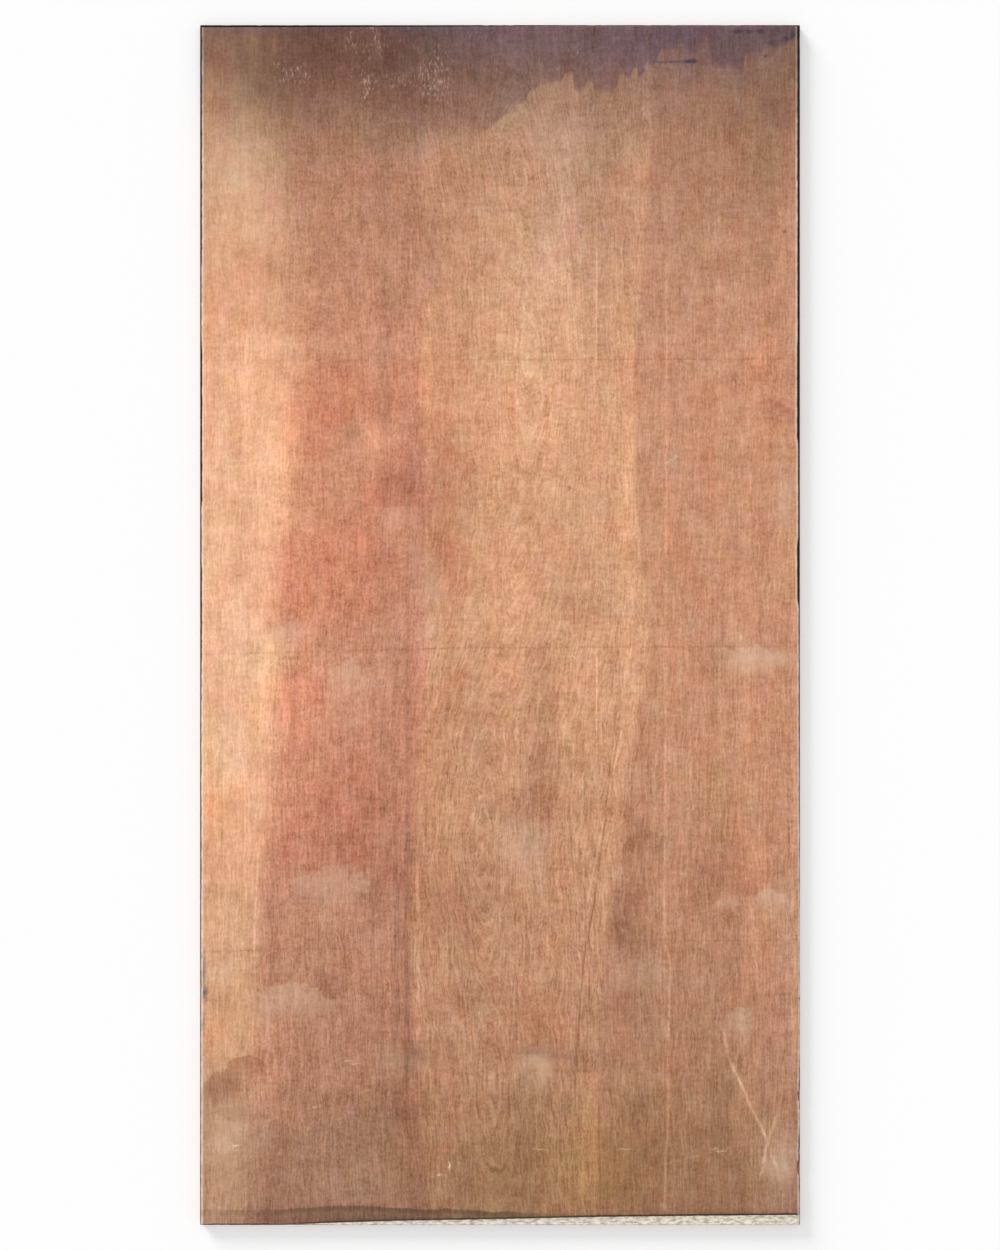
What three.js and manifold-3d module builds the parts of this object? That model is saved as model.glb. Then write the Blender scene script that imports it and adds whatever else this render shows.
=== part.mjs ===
// A full-size sheet of hardwood-faced plywood, lying flat with its better face up.
//
// Millimetres. The origin is at the middle of the underside: +X across the width, +Y along the
// length, which is the way the grain of the face runs, and +Z up through the thickness.
//
// The sheet is pressed and sawn as one piece, so it is one solid. What shows its make-up is the
// sawn edge: plies whose grain runs along an edge wear back from it, and the plies between them,
// which end there in end grain, stand proud.

import * as THREE from "three";
import { mergeVertices } from "three/addons/utils/BufferGeometryUtils.js";
import Module from "manifold-3d";

// ---- The sheet ----

const WIDTH = 1220; // 4 ft
const LENGTH = 2440; // 8 ft
const THICKNESS = 18;
const CORNER_RADIUS = 2; // the corners are rounded a little by handling

// ---- Its plies ----

const OUTER_VENEER = 0.6; // the fine ply on the face and on the back
const CROSSBANDS = 5; // plies that run across, each with a lengthwise ply above and below it
const EDGE_WEAR = 0.25; // how far a ply is worn back where its grain runs along the edge

// ---- The joints inside its plies, where two strips of veneer meet ----

const STRIP_WIDTH = 605; // veneer is clipped into strips about this wide before it is laid
const CROSSBAND_JOINT = 555; // the first joint under the face, from the near end of the sheet
const CORE_JOINT = 300; // the first joint of the top lengthwise core ply, from the left edge
const JOINT_STAGGER = 140; // how far the joints move on from one ply to the next one below
const JOINT_GAP = 0.8; // how far two strips stand apart
const JOINT_DEPTH = 10; // how far in from the sawn edge a joint stays open

// ---- Splinters torn out of the right-hand edge, near the end that stands in the wet ----

const TEAR_BREAK = 0.8; // a tear deepens along this share of its length, and then snaps off short
const EDGE_TEARS = [
  { fromNearEnd: 117, length: 38, depth: 6, plies: 2 },
  { fromNearEnd: 149, length: 14, depth: 4, plies: 1 },
  { fromNearEnd: 237, length: 7, depth: 2.5, plies: 1 },
  { fromNearEnd: 262, length: 27, depth: 5, plies: 2 },
  { fromNearEnd: 301, length: 10, depth: 2.5, plies: 1 },
  { fromNearEnd: 460, length: 8, depth: 3, plies: 1 },
];

// ---- Modelling ----

const ARC_SEGMENTS = 6; // facets in each rounded corner, and in each tear
const OVERCUT = 1; // how far a cutting shape runs past the surface that it opens

const wasm = await Module();
wasm.setup();

// The plies from the underside up. Every second one runs across, and both outer ones lengthwise.
function plyStack() {
  const plyCount = 2 * CROSSBANDS + 1;
  const innerPly = (THICKNESS - 2 * OUTER_VENEER) / (plyCount - 2);
  const plies = [];
  let low = 0;
  for (let index = 0; index < plyCount; index += 1) {
    const outer = index === 0 || index === plyCount - 1;
    const high = outer ? low + OUTER_VENEER : low + innerPly;
    plies.push({ low, high, outer, crosswise: index % 2 === 1 });
    low = high;
  }
  return plies;
}

// A flat outline raised into a slab. Both heights are set exactly, so that stacked slabs share a
// plane and join into one body.
function slab(shape, low, high) {
  const height = high - low;
  const geometry = new THREE.ExtrudeGeometry(shape, {
    depth: height,
    bevelEnabled: false,
    curveSegments: ARC_SEGMENTS,
  });
  const position = geometry.getAttribute("position");
  for (let i = 0; i < position.count; i += 1) {
    position.setZ(i, position.getZ(i) > height / 2 ? high : low);
  }
  geometry.deleteAttribute("normal");
  geometry.deleteAttribute("uv");
  const merged = mergeVertices(geometry);
  return new wasm.Manifold(
    new wasm.Mesh({
      numProp: 3,
      vertProperties: merged.getAttribute("position").array,
      triVerts: new Uint32Array(merged.index.array),
    }),
  );
}

function rectangle(left, right, near, far) {
  return new THREE.Shape([
    new THREE.Vector2(left, near),
    new THREE.Vector2(right, near),
    new THREE.Vector2(right, far),
    new THREE.Vector2(left, far),
  ]);
}

// The outline of one ply: the sheet's own, less the wear on the two edges that its grain follows.
function plyOutline({ crosswise }) {
  const x = WIDTH / 2 - (crosswise ? 0 : EDGE_WEAR) - CORNER_RADIUS;
  const y = LENGTH / 2 - (crosswise ? EDGE_WEAR : 0) - CORNER_RADIUS;
  const quarter = Math.PI / 2;
  const outline = new THREE.Shape();
  outline.absarc(x, y, CORNER_RADIUS, 0, quarter);
  outline.absarc(-x, y, CORNER_RADIUS, quarter, 2 * quarter);
  outline.absarc(-x, -y, CORNER_RADIUS, 2 * quarter, 3 * quarter);
  outline.absarc(x, -y, CORNER_RADIUS, 3 * quarter, 4 * quarter);
  outline.closePath();
  return outline;
}

// The joints of one inner ply, open at both of the edges that they run out to. Strips of a
// crosswise ply lie side by side along the length, and those of a lengthwise ply across the width.
function jointCutters({ low, high, crosswise }, firstJoint) {
  const laidAlong = crosswise ? LENGTH : WIDTH;
  const runsAcross = crosswise ? WIDTH : LENGTH;
  const inner = runsAcross / 2 - JOINT_DEPTH;
  const outer = runsAcross / 2 + OVERCUT;
  const cutters = [];
  for (let at = firstJoint; at < laidAlong - JOINT_DEPTH; at += STRIP_WIDTH) {
    const start = at - laidAlong / 2 - JOINT_GAP / 2;
    const end = start + JOINT_GAP;
    for (const [from, to] of [[inner, outer], [-outer, -inner]]) {
      const opening = crosswise ? rectangle(from, to, start, end) : rectangle(start, end, from, to);
      cutters.push(slab(opening, low, high));
    }
  }
  return cutters;
}

// The joints of every inner ply, moved on a little from each ply to the next of its kind below.
function allJointCutters(plies) {
  const inner = plies.filter((ply) => !ply.outer).reverse();
  const crossbands = inner.filter((ply) => ply.crosswise);
  const cores = inner.filter((ply) => !ply.crosswise);
  const staggered = (first) => (ply, index) =>
    jointCutters(ply, (first + index * JOINT_STAGGER) % STRIP_WIDTH);
  return [
    ...crossbands.flatMap(staggered(CROSSBAND_JOINT)),
    ...cores.flatMap(staggered(CORE_JOINT)),
  ];
}

// A splinter torn from the face: it runs in along the grain, and ends where it snapped.
function tearCutter({ fromNearEnd, length, depth, plies: torn }, plies) {
  const near = -LENGTH / 2 + fromNearEnd - length / 2;
  const deepest = near + TEAR_BREAK * length;
  const outside = WIDTH / 2 + OVERCUT;
  const outline = new THREE.Shape();
  outline.moveTo(outside, near);
  outline.quadraticCurveTo(WIDTH / 2 - depth, near, WIDTH / 2 - depth, deepest);
  outline.lineTo(outside, near + length);
  outline.closePath();
  const floor = plies[plies.length - torn].low;
  return slab(outline, floor, THICKNESS + OVERCUT);
}

function plywoodSheet() {
  const plies = plyStack();
  let solid = plies
    .map((ply) => slab(plyOutline(ply), ply.low, ply.high))
    .reduce((stack, ply) => stack.add(ply));
  const cutters = [
    ...allJointCutters(plies),
    ...EDGE_TEARS.map((tear) => tearCutter(tear, plies)),
  ];
  for (const cutter of cutters) {
    solid = solid.subtract(cutter);
  }
  return solid;
}

function meshOf(name, solid, material) {
  const { vertProperties, triVerts } = solid.getMesh();
  const shared = new THREE.BufferGeometry();
  shared.setAttribute("position", new THREE.BufferAttribute(vertProperties, 3));
  shared.setIndex(new THREE.BufferAttribute(triVerts, 1));
  const faceted = shared.toNonIndexed();
  faceted.computeVertexNormals();
  const mesh = new THREE.Mesh(faceted, material);
  mesh.name = name;
  return mesh;
}

const redHardwood = new THREE.MeshStandardMaterial({
  color: 0xc18f72,
  roughness: 0.62,
  metalness: 0,
});

const plywood = new THREE.Group();
plywood.add(meshOf("plywood_sheet", plywoodSheet(), redHardwood));

export default plywood;
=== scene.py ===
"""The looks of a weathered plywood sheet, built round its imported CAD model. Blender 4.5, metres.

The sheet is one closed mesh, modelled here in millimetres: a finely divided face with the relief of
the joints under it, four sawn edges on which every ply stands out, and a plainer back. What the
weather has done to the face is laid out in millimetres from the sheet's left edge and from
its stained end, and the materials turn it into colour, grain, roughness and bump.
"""

import math

import bpy
import numpy as np
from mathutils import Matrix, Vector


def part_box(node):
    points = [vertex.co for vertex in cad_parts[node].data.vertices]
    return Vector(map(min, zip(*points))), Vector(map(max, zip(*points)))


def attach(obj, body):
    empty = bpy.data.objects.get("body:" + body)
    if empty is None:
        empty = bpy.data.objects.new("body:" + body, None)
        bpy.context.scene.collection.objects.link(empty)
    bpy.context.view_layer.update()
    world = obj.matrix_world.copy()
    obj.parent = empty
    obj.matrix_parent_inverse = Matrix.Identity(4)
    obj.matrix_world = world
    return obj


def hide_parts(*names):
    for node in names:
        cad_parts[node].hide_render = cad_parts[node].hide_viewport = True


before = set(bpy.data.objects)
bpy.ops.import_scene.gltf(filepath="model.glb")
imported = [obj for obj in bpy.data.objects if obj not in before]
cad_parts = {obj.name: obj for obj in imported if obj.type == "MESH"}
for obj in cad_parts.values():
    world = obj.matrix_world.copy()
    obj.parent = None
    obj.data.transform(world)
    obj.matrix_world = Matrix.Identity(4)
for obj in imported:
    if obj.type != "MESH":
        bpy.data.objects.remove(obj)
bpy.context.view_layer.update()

# ---- The sheet, in millimetres ----

MM = 0.001  # metres in a millimetre

sheet_low, sheet_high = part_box("plywood_sheet")
WIDTH, LENGTH, THICKNESS = ((high - low) / MM for low, high in zip(sheet_low, sheet_high))

OUTER_VENEER = 0.6
CROSSBANDS = 5
PLY_COUNT = 2 * CROSSBANDS + 1
INNER_PLY = (THICKNESS - 2 * OUTER_VENEER) / (PLY_COUNT - 2)
EDGE_WEAR = 0.25  # a ply is worn back by this much where its grain runs along the edge
CORNER_RADIUS = 2

# Joints inside the plies, measured as the CAD model measures them
STRIP_WIDTH = 605
CROSSBAND_JOINT = 555  # from the near end, under the face
CORE_JOINT = 300  # from the left edge, in the top lengthwise core ply
JOINT_STAGGER = 140
JOINT_GAP = 0.8
JOINT_DEPTH = 10

# Splinters torn out of the right-hand edge: distance from the near end, length, depth, plies
EDGE_TEARS = [
    (117, 38, 6, 2), (149, 14, 4, 1), (237, 7, 2.5, 1), (262, 27, 5, 2), (301, 10, 2.5, 1), (460, 8, 3, 1),
]
TEAR_BREAK = 0.8  # each deepens over this share of its length, then snaps off
TEAR_OUTSIDE = 1  # its line starts and ends this far outside the sheet

# ---- Small tools ----


def linear(red, green, blue):
    """A colour as a colour picker gives it, 0 to 255, in linear light."""
    share = np.array([red, green, blue]) / 255
    return np.where(share <= 0.04045, share / 12.92, ((share + 0.055) / 1.055) ** 2.4)


def rgba(red, green, blue):
    return (*linear(red, green, blue), 1.0)


def smoothstep(low, high, value):
    share = np.clip((value - low) / (high - low), 0, 1)
    return share * share * (3 - 2 * share)


def lattice_noise(u, v, seed):
    """Smooth noise from 0 to 1, with one random value at each whole u and v."""
    side = 64
    table = np.random.default_rng(seed).random((side, side))
    whole_u, whole_v = np.floor(u).astype(int), np.floor(v).astype(int)
    part_u, part_v = smoothstep(0, 1, u - whole_u), smoothstep(0, 1, v - whole_v)
    left, right = whole_u % side, (whole_u + 1) % side
    near, far = whole_v % side, (whole_v + 1) % side
    near_value = table[left, near] * (1 - part_u) + table[right, near] * part_u
    far_value = table[left, far] * (1 - part_u) + table[right, far] * part_u
    return near_value * (1 - part_v) + far_value * part_v


def cloud(x, y, across, along, seed):
    """Soft noise from -1 to 1, in blotches about this many millimetres across and along."""
    total = np.zeros_like(x)
    for octave, weight in enumerate((1.14, 0.57, 0.29)):
        u, v = x / across * 2**octave, y / along * 2**octave
        total += weight * (lattice_noise(u, v, seed + octave) - 0.5)
    return total


def curve(points, at):
    """The value at these places of a line through (place, value) points."""
    places, values = zip(*points)
    return np.interp(at, places, values)


# ---- What the weather has done to the face, and the light and shade painted on it ----
# Places are (across, along): millimetres from the left edge, and from the stained end.

# Four bands of differently coloured wood lie side by side, and wander as they go down the sheet.
PALE = (239, 183, 143)
BROWN = (206, 145, 114)
TAN = (213, 156, 118)
ROSY = (202, 145, 111)

# Their borders, as (along, across)
PALE_TO_BROWN = [
    (0, 162), (210, 167), (355, 177), (480, 187), (765, 198), (860, 186), (965, 173), (1085, 156),
    (1210, 146), (1475, 144), (1640, 137), (1740, 121), (1830, 112), (1950, 106), (2065, 98), (2440, 88),
]
BROWN_TO_TAN = [
    (0, 436), (210, 441), (415, 446), (480, 480), (530, 480), (580, 456), (660, 446), (765, 446),
    (860, 460), (965, 465), (1045, 456), (1130, 455), (1300, 461), (1450, 455), (1560, 441), (1780, 431),
    (2065, 437), (2440, 465),
]
TAN_TO_ROSY = [
    (0, 922), (210, 917), (355, 907), (520, 893), (640, 883), (925, 883), (1045, 893), (1290, 912),
    (1375, 893), (1475, 878), (1615, 863), (1735, 848), (1860, 823), (1985, 813), (2105, 793), (2440, 798),
]
BANDS = [PALE, BROWN, TAN, ROSY]
BORDERS = [  # with how soft each is, by along
    (PALE_TO_BROWN, [(0, 80), (700, 60), (880, 30), (1100, 32), (2000, 34), (2150, 50), (2440, 60)]),
    (BROWN_TO_TAN, [(0, 35), (500, 22), (800, 12), (2440, 12)]),
    (TAN_TO_ROSY, [
        (0, 12), (480, 10), (560, 5), (1290, 5), (1400, 14), (1600, 8), (1950, 8), (2100, 25), (2440, 25),
    ]),
]
# How strong each of these is, band by band
BAND_TRAITS = {
    "grain": [0.85, 1.15, 1.3, 1.1],
    "stippled": [0.85, 1.35, 1.2, 1.15],
    "figure": [0.9, 0.8, 1.1, 0.8],  # how much the grain wriggles
    "patchiness": [0.9, 1.0, 1.4, 1.4],  # how much its colour varies
}
GRAIN_DOWN = (900, 1800)  # the grain gets stronger down the sheet between these places

# How bright the wood is along the sheet, as a share of its colour in a colour picker: sun bleaching, and
# painted light falloff that darkens it towards both ends
BLEACHING_AND_LIGHT_FALLOFF = [
    (0, 0.80), (285, 0.86), (470, 0.925), (650, 0.975), (845, 0.985), (1385, 0.972), (1570, 0.94),
    (1745, 0.91), (1930, 0.885), (2115, 0.85), (2300, 0.785), (2440, 0.745),
]

DISPLAY_GAMMA = 2.2  # turns such a share into one of linear light
STREAK_FADE = 60  # a streak fades in and out this far before and past where it starts and ends
# Streaks along the grain: across, half-width, from, to, how much paler (or darker, below 0)
STREAKS = [
    (376, 14, 0, 1250, -0.05), (410, 30, 1250, 2250, -0.03), (460, 8, 560, 1375, 0.03),
    (353, 5, 1250, 2050, -0.05), (371, 5, 1300, 2200, -0.05), (386, 4, 1350, 2200, 0.04),
    (400, 5, 1200, 2250, -0.05), (424, 5, 900, 2200, -0.05), (412, 4, 1300, 2100, 0.03),
    (872, 13, 560, 1290, 0.045), (907, 6, 270, 370, 0.07), (1210, 7, 1480, 2150, 0.08),
    (107, 5, 0, 70, 0.09), (150, 5, 0, 90, 0.07), (364, 5, 0, 80, 0.09), (130, 6, 0, 120, -0.04),
    (310, 6, 0, 150, -0.04), (345, 9, 30, 210, -0.06), (462, 9, 10, 140, -0.09), (176, 9, 230, 390, -0.07),
    (803, 14, 150, 270, -0.05), (1100, 12, 60, 190, -0.05), (1150, 10, 320, 400, -0.06),
    (383, 8, 1230, 1720, -0.05), (445, 12, 2130, 2400, -0.05), (689, 29, 1250, 1695, -0.05),
    (845, 14, 380, 1000, 0.02), (803, 5, 315, 805, 0.04), (893, 29, 1615, 1940, -0.07),
    (1056, 25, 1210, 2310, -0.04), (1116, 20, 620, 2345, 0.02), (1201, 16, 1675, 2185, 0.02),
    (754, 33, 210, 805, 0.02), (813, 25, 210, 560, -0.04), (490, 25, 210, 560, -0.02),
    (92, 12, 560, 900, 0.05), (130, 12, 1250, 1640, 0.025), (947, 5, 210, 2440, 0.03),
    (431, 10, 0, 480, -0.03), (659, 45, 2145, 2440, -0.06), (793, 20, 2065, 2440, 0.04),
    (153, 25, 150, 285, -0.02), (93, 29, 150, 560, 0.015),
]

BLOT_BEND = 18  # how far noise bends the outlines of the blots
# Blots with soft edges: across, along, half-width, half-length, strength. Below 0 a blot does the
# opposite: it dulls the red, greens the yellow or darkens.
BRIGHT_BLOTS = [
    (670, 330, 80, 130, 0.05), (660, 620, 90, 160, 0.045), (690, 820, 90, 60, 0.03),
    (470, 995, 45, 170, -0.07), (520, 995, 40, 120, -0.04), (155, 1325, 25, 60, 0.05),
    (155, 1495, 25, 200, 0.05), (145, 2050, 40, 60, 0.05), (145, 2170, 40, 60, 0.05),
    (1155, 1990, 50, 300, 0.04), (540, 1375, 60, 60, -0.03), (540, 1790, 70, 70, -0.06),
    (350, 1730, 90, 50, -0.05), (45, 2190, 40, 60, -0.05), (1145, 300, 50, 70, -0.05),
    (1175, 150, 50, 60, -0.05), (75, 530, 80, 60, -0.03), (480, 300, 40, 60, 0.04),
    (720, 500, 60, 120, 0.03), (900, 330, 30, 130, 0.03), (1200, 380, 20, 80, 0.05),
    (105, 290, 90, 130, -0.05), (155, 540, 30, 80, -0.05), (650, 1595, 40, 40, -0.07),
    (480, 1395, 60, 80, -0.03), (320, 1610, 80, 60, -0.03), (250, 1970, 40, 25, -0.05),
    (760, 2120, 30, 20, -0.07), (570, 2355, 60, 40, -0.05), (330, 2260, 60, 60, -0.05),
    (360, 840, 30, 20, 0.06), (155, 955, 40, 70, 0.03), (915, 2260, 50, 60, -0.05),
    (810, 2200, 30, 60, 0.05), (600, 1740, 100, 100, -0.02), (375, 880, 35, 50, 0.05),
    (640, 1165, 25, 90, 0.05), (865, 975, 25, 130, 0.04), (440, 730, 30, 35, 0.04),
    (70, 1500, 30, 220, 0.035), (25, 1580, 40, 90, 0.04), (140, 2080, 50, 70, 0.04),
    (1170, 2300, 50, 110, 0.03), (925, 2330, 25, 80, 0.04), (130, 135, 40, 25, -0.07),
    (480, 455, 25, 30, -0.05), (400, 575, 35, 35, -0.04), (280, 1260, 70, 50, -0.04),
    (750, 1155, 35, 35, -0.05), (720, 1530, 120, 70, -0.025), (590, 1975, 40, 30, -0.04),
    (440, 2085, 20, 25, -0.06), (830, 655, 25, 30, -0.045), (1180, 790, 25, 20, -0.05),
    (260, 1975, 30, 30, -0.04), (205, 1415, 40, 40, 0.06), (410, 1005, 40, 30, 0.04),
    (183, 1246, 30, 25, 0.03), (110, 2160, 50, 40, 0.04), (305, 2330, 60, 40, 0.05),
    (30, 2070, 20, 30, 0.05), (1140, 1715, 50, 50, 0.04), (203, 1576, 45, 90, 0.04),
    (180, 1000, 35, 130, 0.04), (180, 860, 30, 60, 0.05), (30, 71, 25, 40, 0.09),
    (200, 178, 60, 25, -0.07), (508, 193, 50, 25, -0.04), (61, 193, 50, 30, -0.04),
    (915, 152, 50, 30, 0.04), (976, 20, 50, 14, 0.06), (645, 800, 15, 65, 0.06), (708, 800, 10, 70, 0.06),
    (690, 400, 18, 60, -0.06), (770, 430, 14, 60, -0.05), (673, 300, 12, 28, 0.08),
    (448, 225, 12, 35, -0.08), (1185, 225, 20, 60, -0.05), (40, 1368, 25, 30, -0.06),
    (105, 1285, 18, 35, -0.05), (690, 2060, 40, 35, -0.05), (435, 2180, 25, 25, 0.05),
    (1150, 2240, 40, 90, -0.03), (765, 2120, 18, 50, -0.05), (790, 2250, 12, 60, 0.04),
    (1050, 1570, 30, 80, 0.04), (895, 1738, 40, 40, 0.04), (60, 2215, 40, 14, -0.05),
    (365, 1780, 30, 50, -0.04), (1140, 640, 14, 50, 0.05), (895, 1993, 60, 40, -0.03),
    (210, 1150, 50, 150, 0.055), (230, 1330, 60, 70, 0.045), (45, 1200, 35, 60, 0.05),
    (1140, 1880, 14, 80, 0.05), (95, 340, 60, 100, 0.05), (1152, 700, 14, 60, 0.05),
    (560, 1440, 14, 70, -0.05), (948, 1665, 14, 60, -0.06), (366, 213, 40, 35, -0.045),
    (264, 213, 40, 35, -0.03), (510, 155, 60, 35, 0.045), (655, 1180, 14, 60, 0.04),
    (1100, 1070, 10, 40, -0.05), (1110, 2000, 14, 40, -0.05), (650, 765, 10, 30, -0.05),
    (975, 800, 14, 60, -0.04),
]
RED_BLOTS = [
    (275, 715, 75, 90, 0.7), (355, 650, 80, 40, 0.35), (265, 1095, 115, 100, 0.9),
    (345, 1055, 50, 60, 0.3), (285, 1515, 125, 80, 0.45), (295, 1635, 125, 80, 0.6),
    (180, 1635, 40, 80, 0.4), (65, 540, 80, 90, 0.6), (240, 845, 60, 50, 0.3), (395, 925, 45, 60, 0.45),
    (1160, 725, 50, 100, 0.35), (1015, 765, 60, 125, 0.15), (490, 1005, 40, 100, 0.2),
    (1015, 1085, 100, 125, 0.15), (1105, 1655, 60, 125, 0.2), (705, 1035, 40, 30, 0.2),
    (735, 1995, 80, 30, 0.25), (1140, 1940, 60, 80, 0.2), (300, 790, 200, 70, 0.35),
    (490, 400, 50, 180, 0.2), (500, 800, 50, 200, 0.3), (480, 1095, 90, 60, 0.5), (450, 895, 50, 100, 0.3),
    (470, 1395, 60, 70, 0.4), (440, 1990, 30, 300, 0.3), (220, 1345, 60, 50, 0.5),
    (1160, 1265, 40, 30, 0.4), (1060, 1715, 55, 35, 0.5), (995, 1445, 30, 60, 0.3),
    (690, 2060, 50, 40, 0.4), (310, 660, 100, 30, -0.6), (330, 2320, 130, 120, -0.4),
    (1185, 1840, 30, 130, -0.3), (690, 560, 90, 250, -0.4), (850, 240, 60, 40, -0.4),
    (125, 730, 60, 40, 0.3), (300, 1395, 130, 100, 0.3), (300, 1720, 150, 50, 0.5),
    (480, 2190, 50, 120, 0.3), (55, 1640, 60, 140, 0.45), (850, 1175, 60, 25, -0.3),
    (790, 980, 60, 30, -0.3), (395, 1065, 40, 30, -0.4), (135, 1285, 40, 30, -0.4),
    (240, 1195, 130, 60, 0.3), (35, 2040, 40, 50, 0.5), (1175, 2290, 60, 150, -0.15),
    (150, 510, 40, 90, 0.3), (230, 815, 45, 45, 0.35), (435, 720, 30, 50, 0.35), (385, 975, 50, 45, 0.4),
    (505, 1040, 25, 110, 0.3), (660, 1580, 40, 40, 0.3), (515, 1795, 45, 35, 0.45),
    (880, 1660, 45, 60, 0.3), (1145, 1730, 25, 50, 0.35), (755, 280, 45, 60, -0.5),
    (445, 520, 35, 45, -0.4), (155, 1300, 30, 35, -0.5), (15, 1480, 40, 50, -0.4),
    (640, 150, 60, 50, -0.6), (400, 190, 180, 35, -0.3), (20, 120, 35, 50, 0.8),
    (950, 480, 150, 100, -0.15), (700, 480, 110, 110, -0.2), (1160, 2380, 50, 40, -0.4),
    (40, 1415, 60, 150, -0.2), (205, 1415, 40, 60, 0.35), (305, 2330, 60, 40, -0.3),
    (15, 740, 14, 160, 0.6), (14, 1590, 10, 90, 0.8), (40, 1365, 30, 35, 0.6), (295, 1576, 50, 80, 0.3),
    (275, 1985, 60, 30, 0.35), (685, 2050, 45, 40, 0.6), (505, 2340, 40, 60, 0.35),
    (385, 240, 60, 60, -0.4), (860, 1095, 50, 40, -0.3), (1050, 1570, 30, 80, -0.3),
    (865, 1200, 60, 40, -0.3), (510, 1800, 50, 40, 0.3), (1150, 2240, 50, 90, -0.2),
    (1140, 1430, 40, 60, 0.2), (1035, 1440, 14, 45, 0.6), (665, 1565, 40, 45, 0.25),
    (1143, 767, 20, 14, 0.4), (1183, 777, 24, 16, 0.3),
]
YELLOW_BLOTS = [
    (651, 1680, 40, 50, -0.25), (415, 905, 45, 60, -0.35), (850, 400, 350, 300, -0.2),
    (55, 2020, 50, 60, 0.4), (400, 2310, 60, 70, 0.2), (650, 2320, 120, 100, 0.6),
    (830, 2340, 80, 100, 0.8), (995, 2290, 150, 150, 0.3), (450, 280, 30, 60, -0.2),
    (740, 420, 60, 100, -0.3), (720, 210, 70, 80, -0.6), (1190, 1990, 30, 200, -0.35),
    (1190, 2320, 30, 60, -0.35), (300, 700, 110, 500, 0.15), (450, 2240, 40, 70, 0.3),
    (900, 1915, 70, 40, -0.2), (30, 1570, 45, 80, 0.35), (110, 920, 45, 50, -0.2),
    (470, 200, 40, 50, -0.3), (1020, 75, 130, 35, -0.9), (915, 160, 60, 50, -0.4),
    (65, 1230, 30, 60, -0.4), (65, 1480, 30, 90, -0.3), (1050, 1570, 30, 80, 0.3),
    (180, 900, 40, 120, 0.15), (685, 2050, 50, 40, 0.4), (140, 1330, 40, 90, 0.15),
    (450, 1260, 14, 80, -0.4),
]
PALE_BLOTS = [
    (95, 330, 70, 110, 0.3), (1175, 968, 30, 55, 0.2), (405, 1005, 50, 28, 0.3), (170, 1240, 55, 25, 0.4),
    (290, 1335, 60, 50, 0.3), (465, 1150, 40, 40, 0.45), (445, 1085, 35, 30, 0.3),
    (1130, 1290, 70, 35, 0.5), (795, 985, 50, 30, 0.3), (960, 890, 45, 30, 0.35), (265, 1765, 85, 40, 0.3),
    (190, 1990, 75, 35, 0.3), (65, 1230, 30, 50, 0.25), (660, 1675, 45, 55, 0.5), (690, 2105, 45, 30, 0.3),
    (55, 2280, 50, 45, 0.4), (70, 1465, 30, 60, 0.35), (860, 1095, 55, 30, 0.25), (465, 510, 30, 25, 0.25),
    (490, 2095, 50, 30, 0.2), (405, 2105, 55, 35, 0.25), (1095, 2035, 40, 35, 0.35),
    (1200, 1755, 20, 35, 0.35), (745, 1130, 40, 40, 0.2), (570, 1190, 50, 35, 0.2),
    (285, 845, 100, 35, 0.25), (305, 2105, 80, 25, 0.2), (995, 1960, 80, 80, 0.15),
    (65, 295, 50, 40, 0.25), (720, 230, 60, 90, 0.3), (125, 2005, 35, 35, 0.2), (1190, 2290, 30, 40, 0.3),
    (285, 2385, 125, 30, 0.15), (95, 2375, 35, 30, 0.2), (425, 1250, 40, 40, 0.2),
    (305, 1415, 55, 35, 0.3), (540, 1455, 55, 40, 0.15), (305, 650, 60, 25, 0.3), (1200, 965, 20, 60, 0.4),
    (825, 1170, 40, 40, 0.15), (1160, 1773, 20, 14, 0.6), (1180, 2325, 38, 65, 0.35),
    (688, 2125, 45, 45, 0.35),
]
DARK_BLOTS = [
    (60, 2150, 50, 26, 0.3), (35, 2180, 40, 30, 0.4), (465, 425, 25, 40, 0.35), (995, 1365, 14, 18, 0.3),
    (860, 1825, 30, 65, 0.4), (910, 1745, 45, 60, 0.15), (815, 1190, 50, 35, 0.3),
    (1035, 1710, 14, 30, 0.4), (1190, 1720, 14, 20, 0.4), (690, 1415, 35, 125, 0.2),
    (705, 1560, 35, 80, 0.2), (405, 2185, 50, 185, 0.3), (690, 2290, 125, 100, 0.15),
    (570, 2310, 80, 100, 0.2), (410, 925, 40, 45, 0.45), (1055, 1695, 40, 125, 0.15),
    (1075, 2385, 80, 80, 0.25), (915, 2310, 50, 125, 0.2), (815, 2005, 60, 20, 0.2),
    (690, 2090, 60, 12, 0.6), (440, 2090, 20, 10, 0.35), (1170, 1720, 30, 10, 0.35),
    (1075, 2000, 25, 10, 0.35), (170, 2385, 125, 35, 0.15), (845, 2125, 55, 25, 0.2),
    (690, 1950, 55, 25, 0.1), (610, 1355, 40, 25, 0.1), (200, 1210, 40, 15, 0.2), (265, 1710, 60, 10, 0.2),
    (845, 1845, 25, 20, 0.5),
]

# How far down the sheet the wet has crept from the stained end, as (across, along). On the left it
# fades out, and on the right it ends in a jagged line that it has drawn along the pores.
WET_FRONT = [
    (0, 108), (63, 132), (162, 148), (302, 152), (431, 192), (540, 212), (575, 219), (597, 204),
    (634, 173), (647, 161), (665, 152), (672, 126), (682, 133), (690, 119), (734, 118), (742, 98),
    (757, 98), (764, 136), (774, 136), (788, 116), (798, 114), (804, 135), (845, 137), (853, 98),
    (861, 96), (866, 106), (876, 106), (881, 87), (887, 87), (893, 103), (901, 103), (906, 79), (925, 78),
    (939, 52), (970, 50), (980, 36), (990, 60), (1010, 60), (1018, 46), (1027, 26), (1034, 40), (1041, 84),
    (1060, 84), (1104, 93), (1109, 60), (1140, 66), (1150, 43), (1165, 55), (1176, 50), (1190, 38),
    (1220, 30),
]
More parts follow.
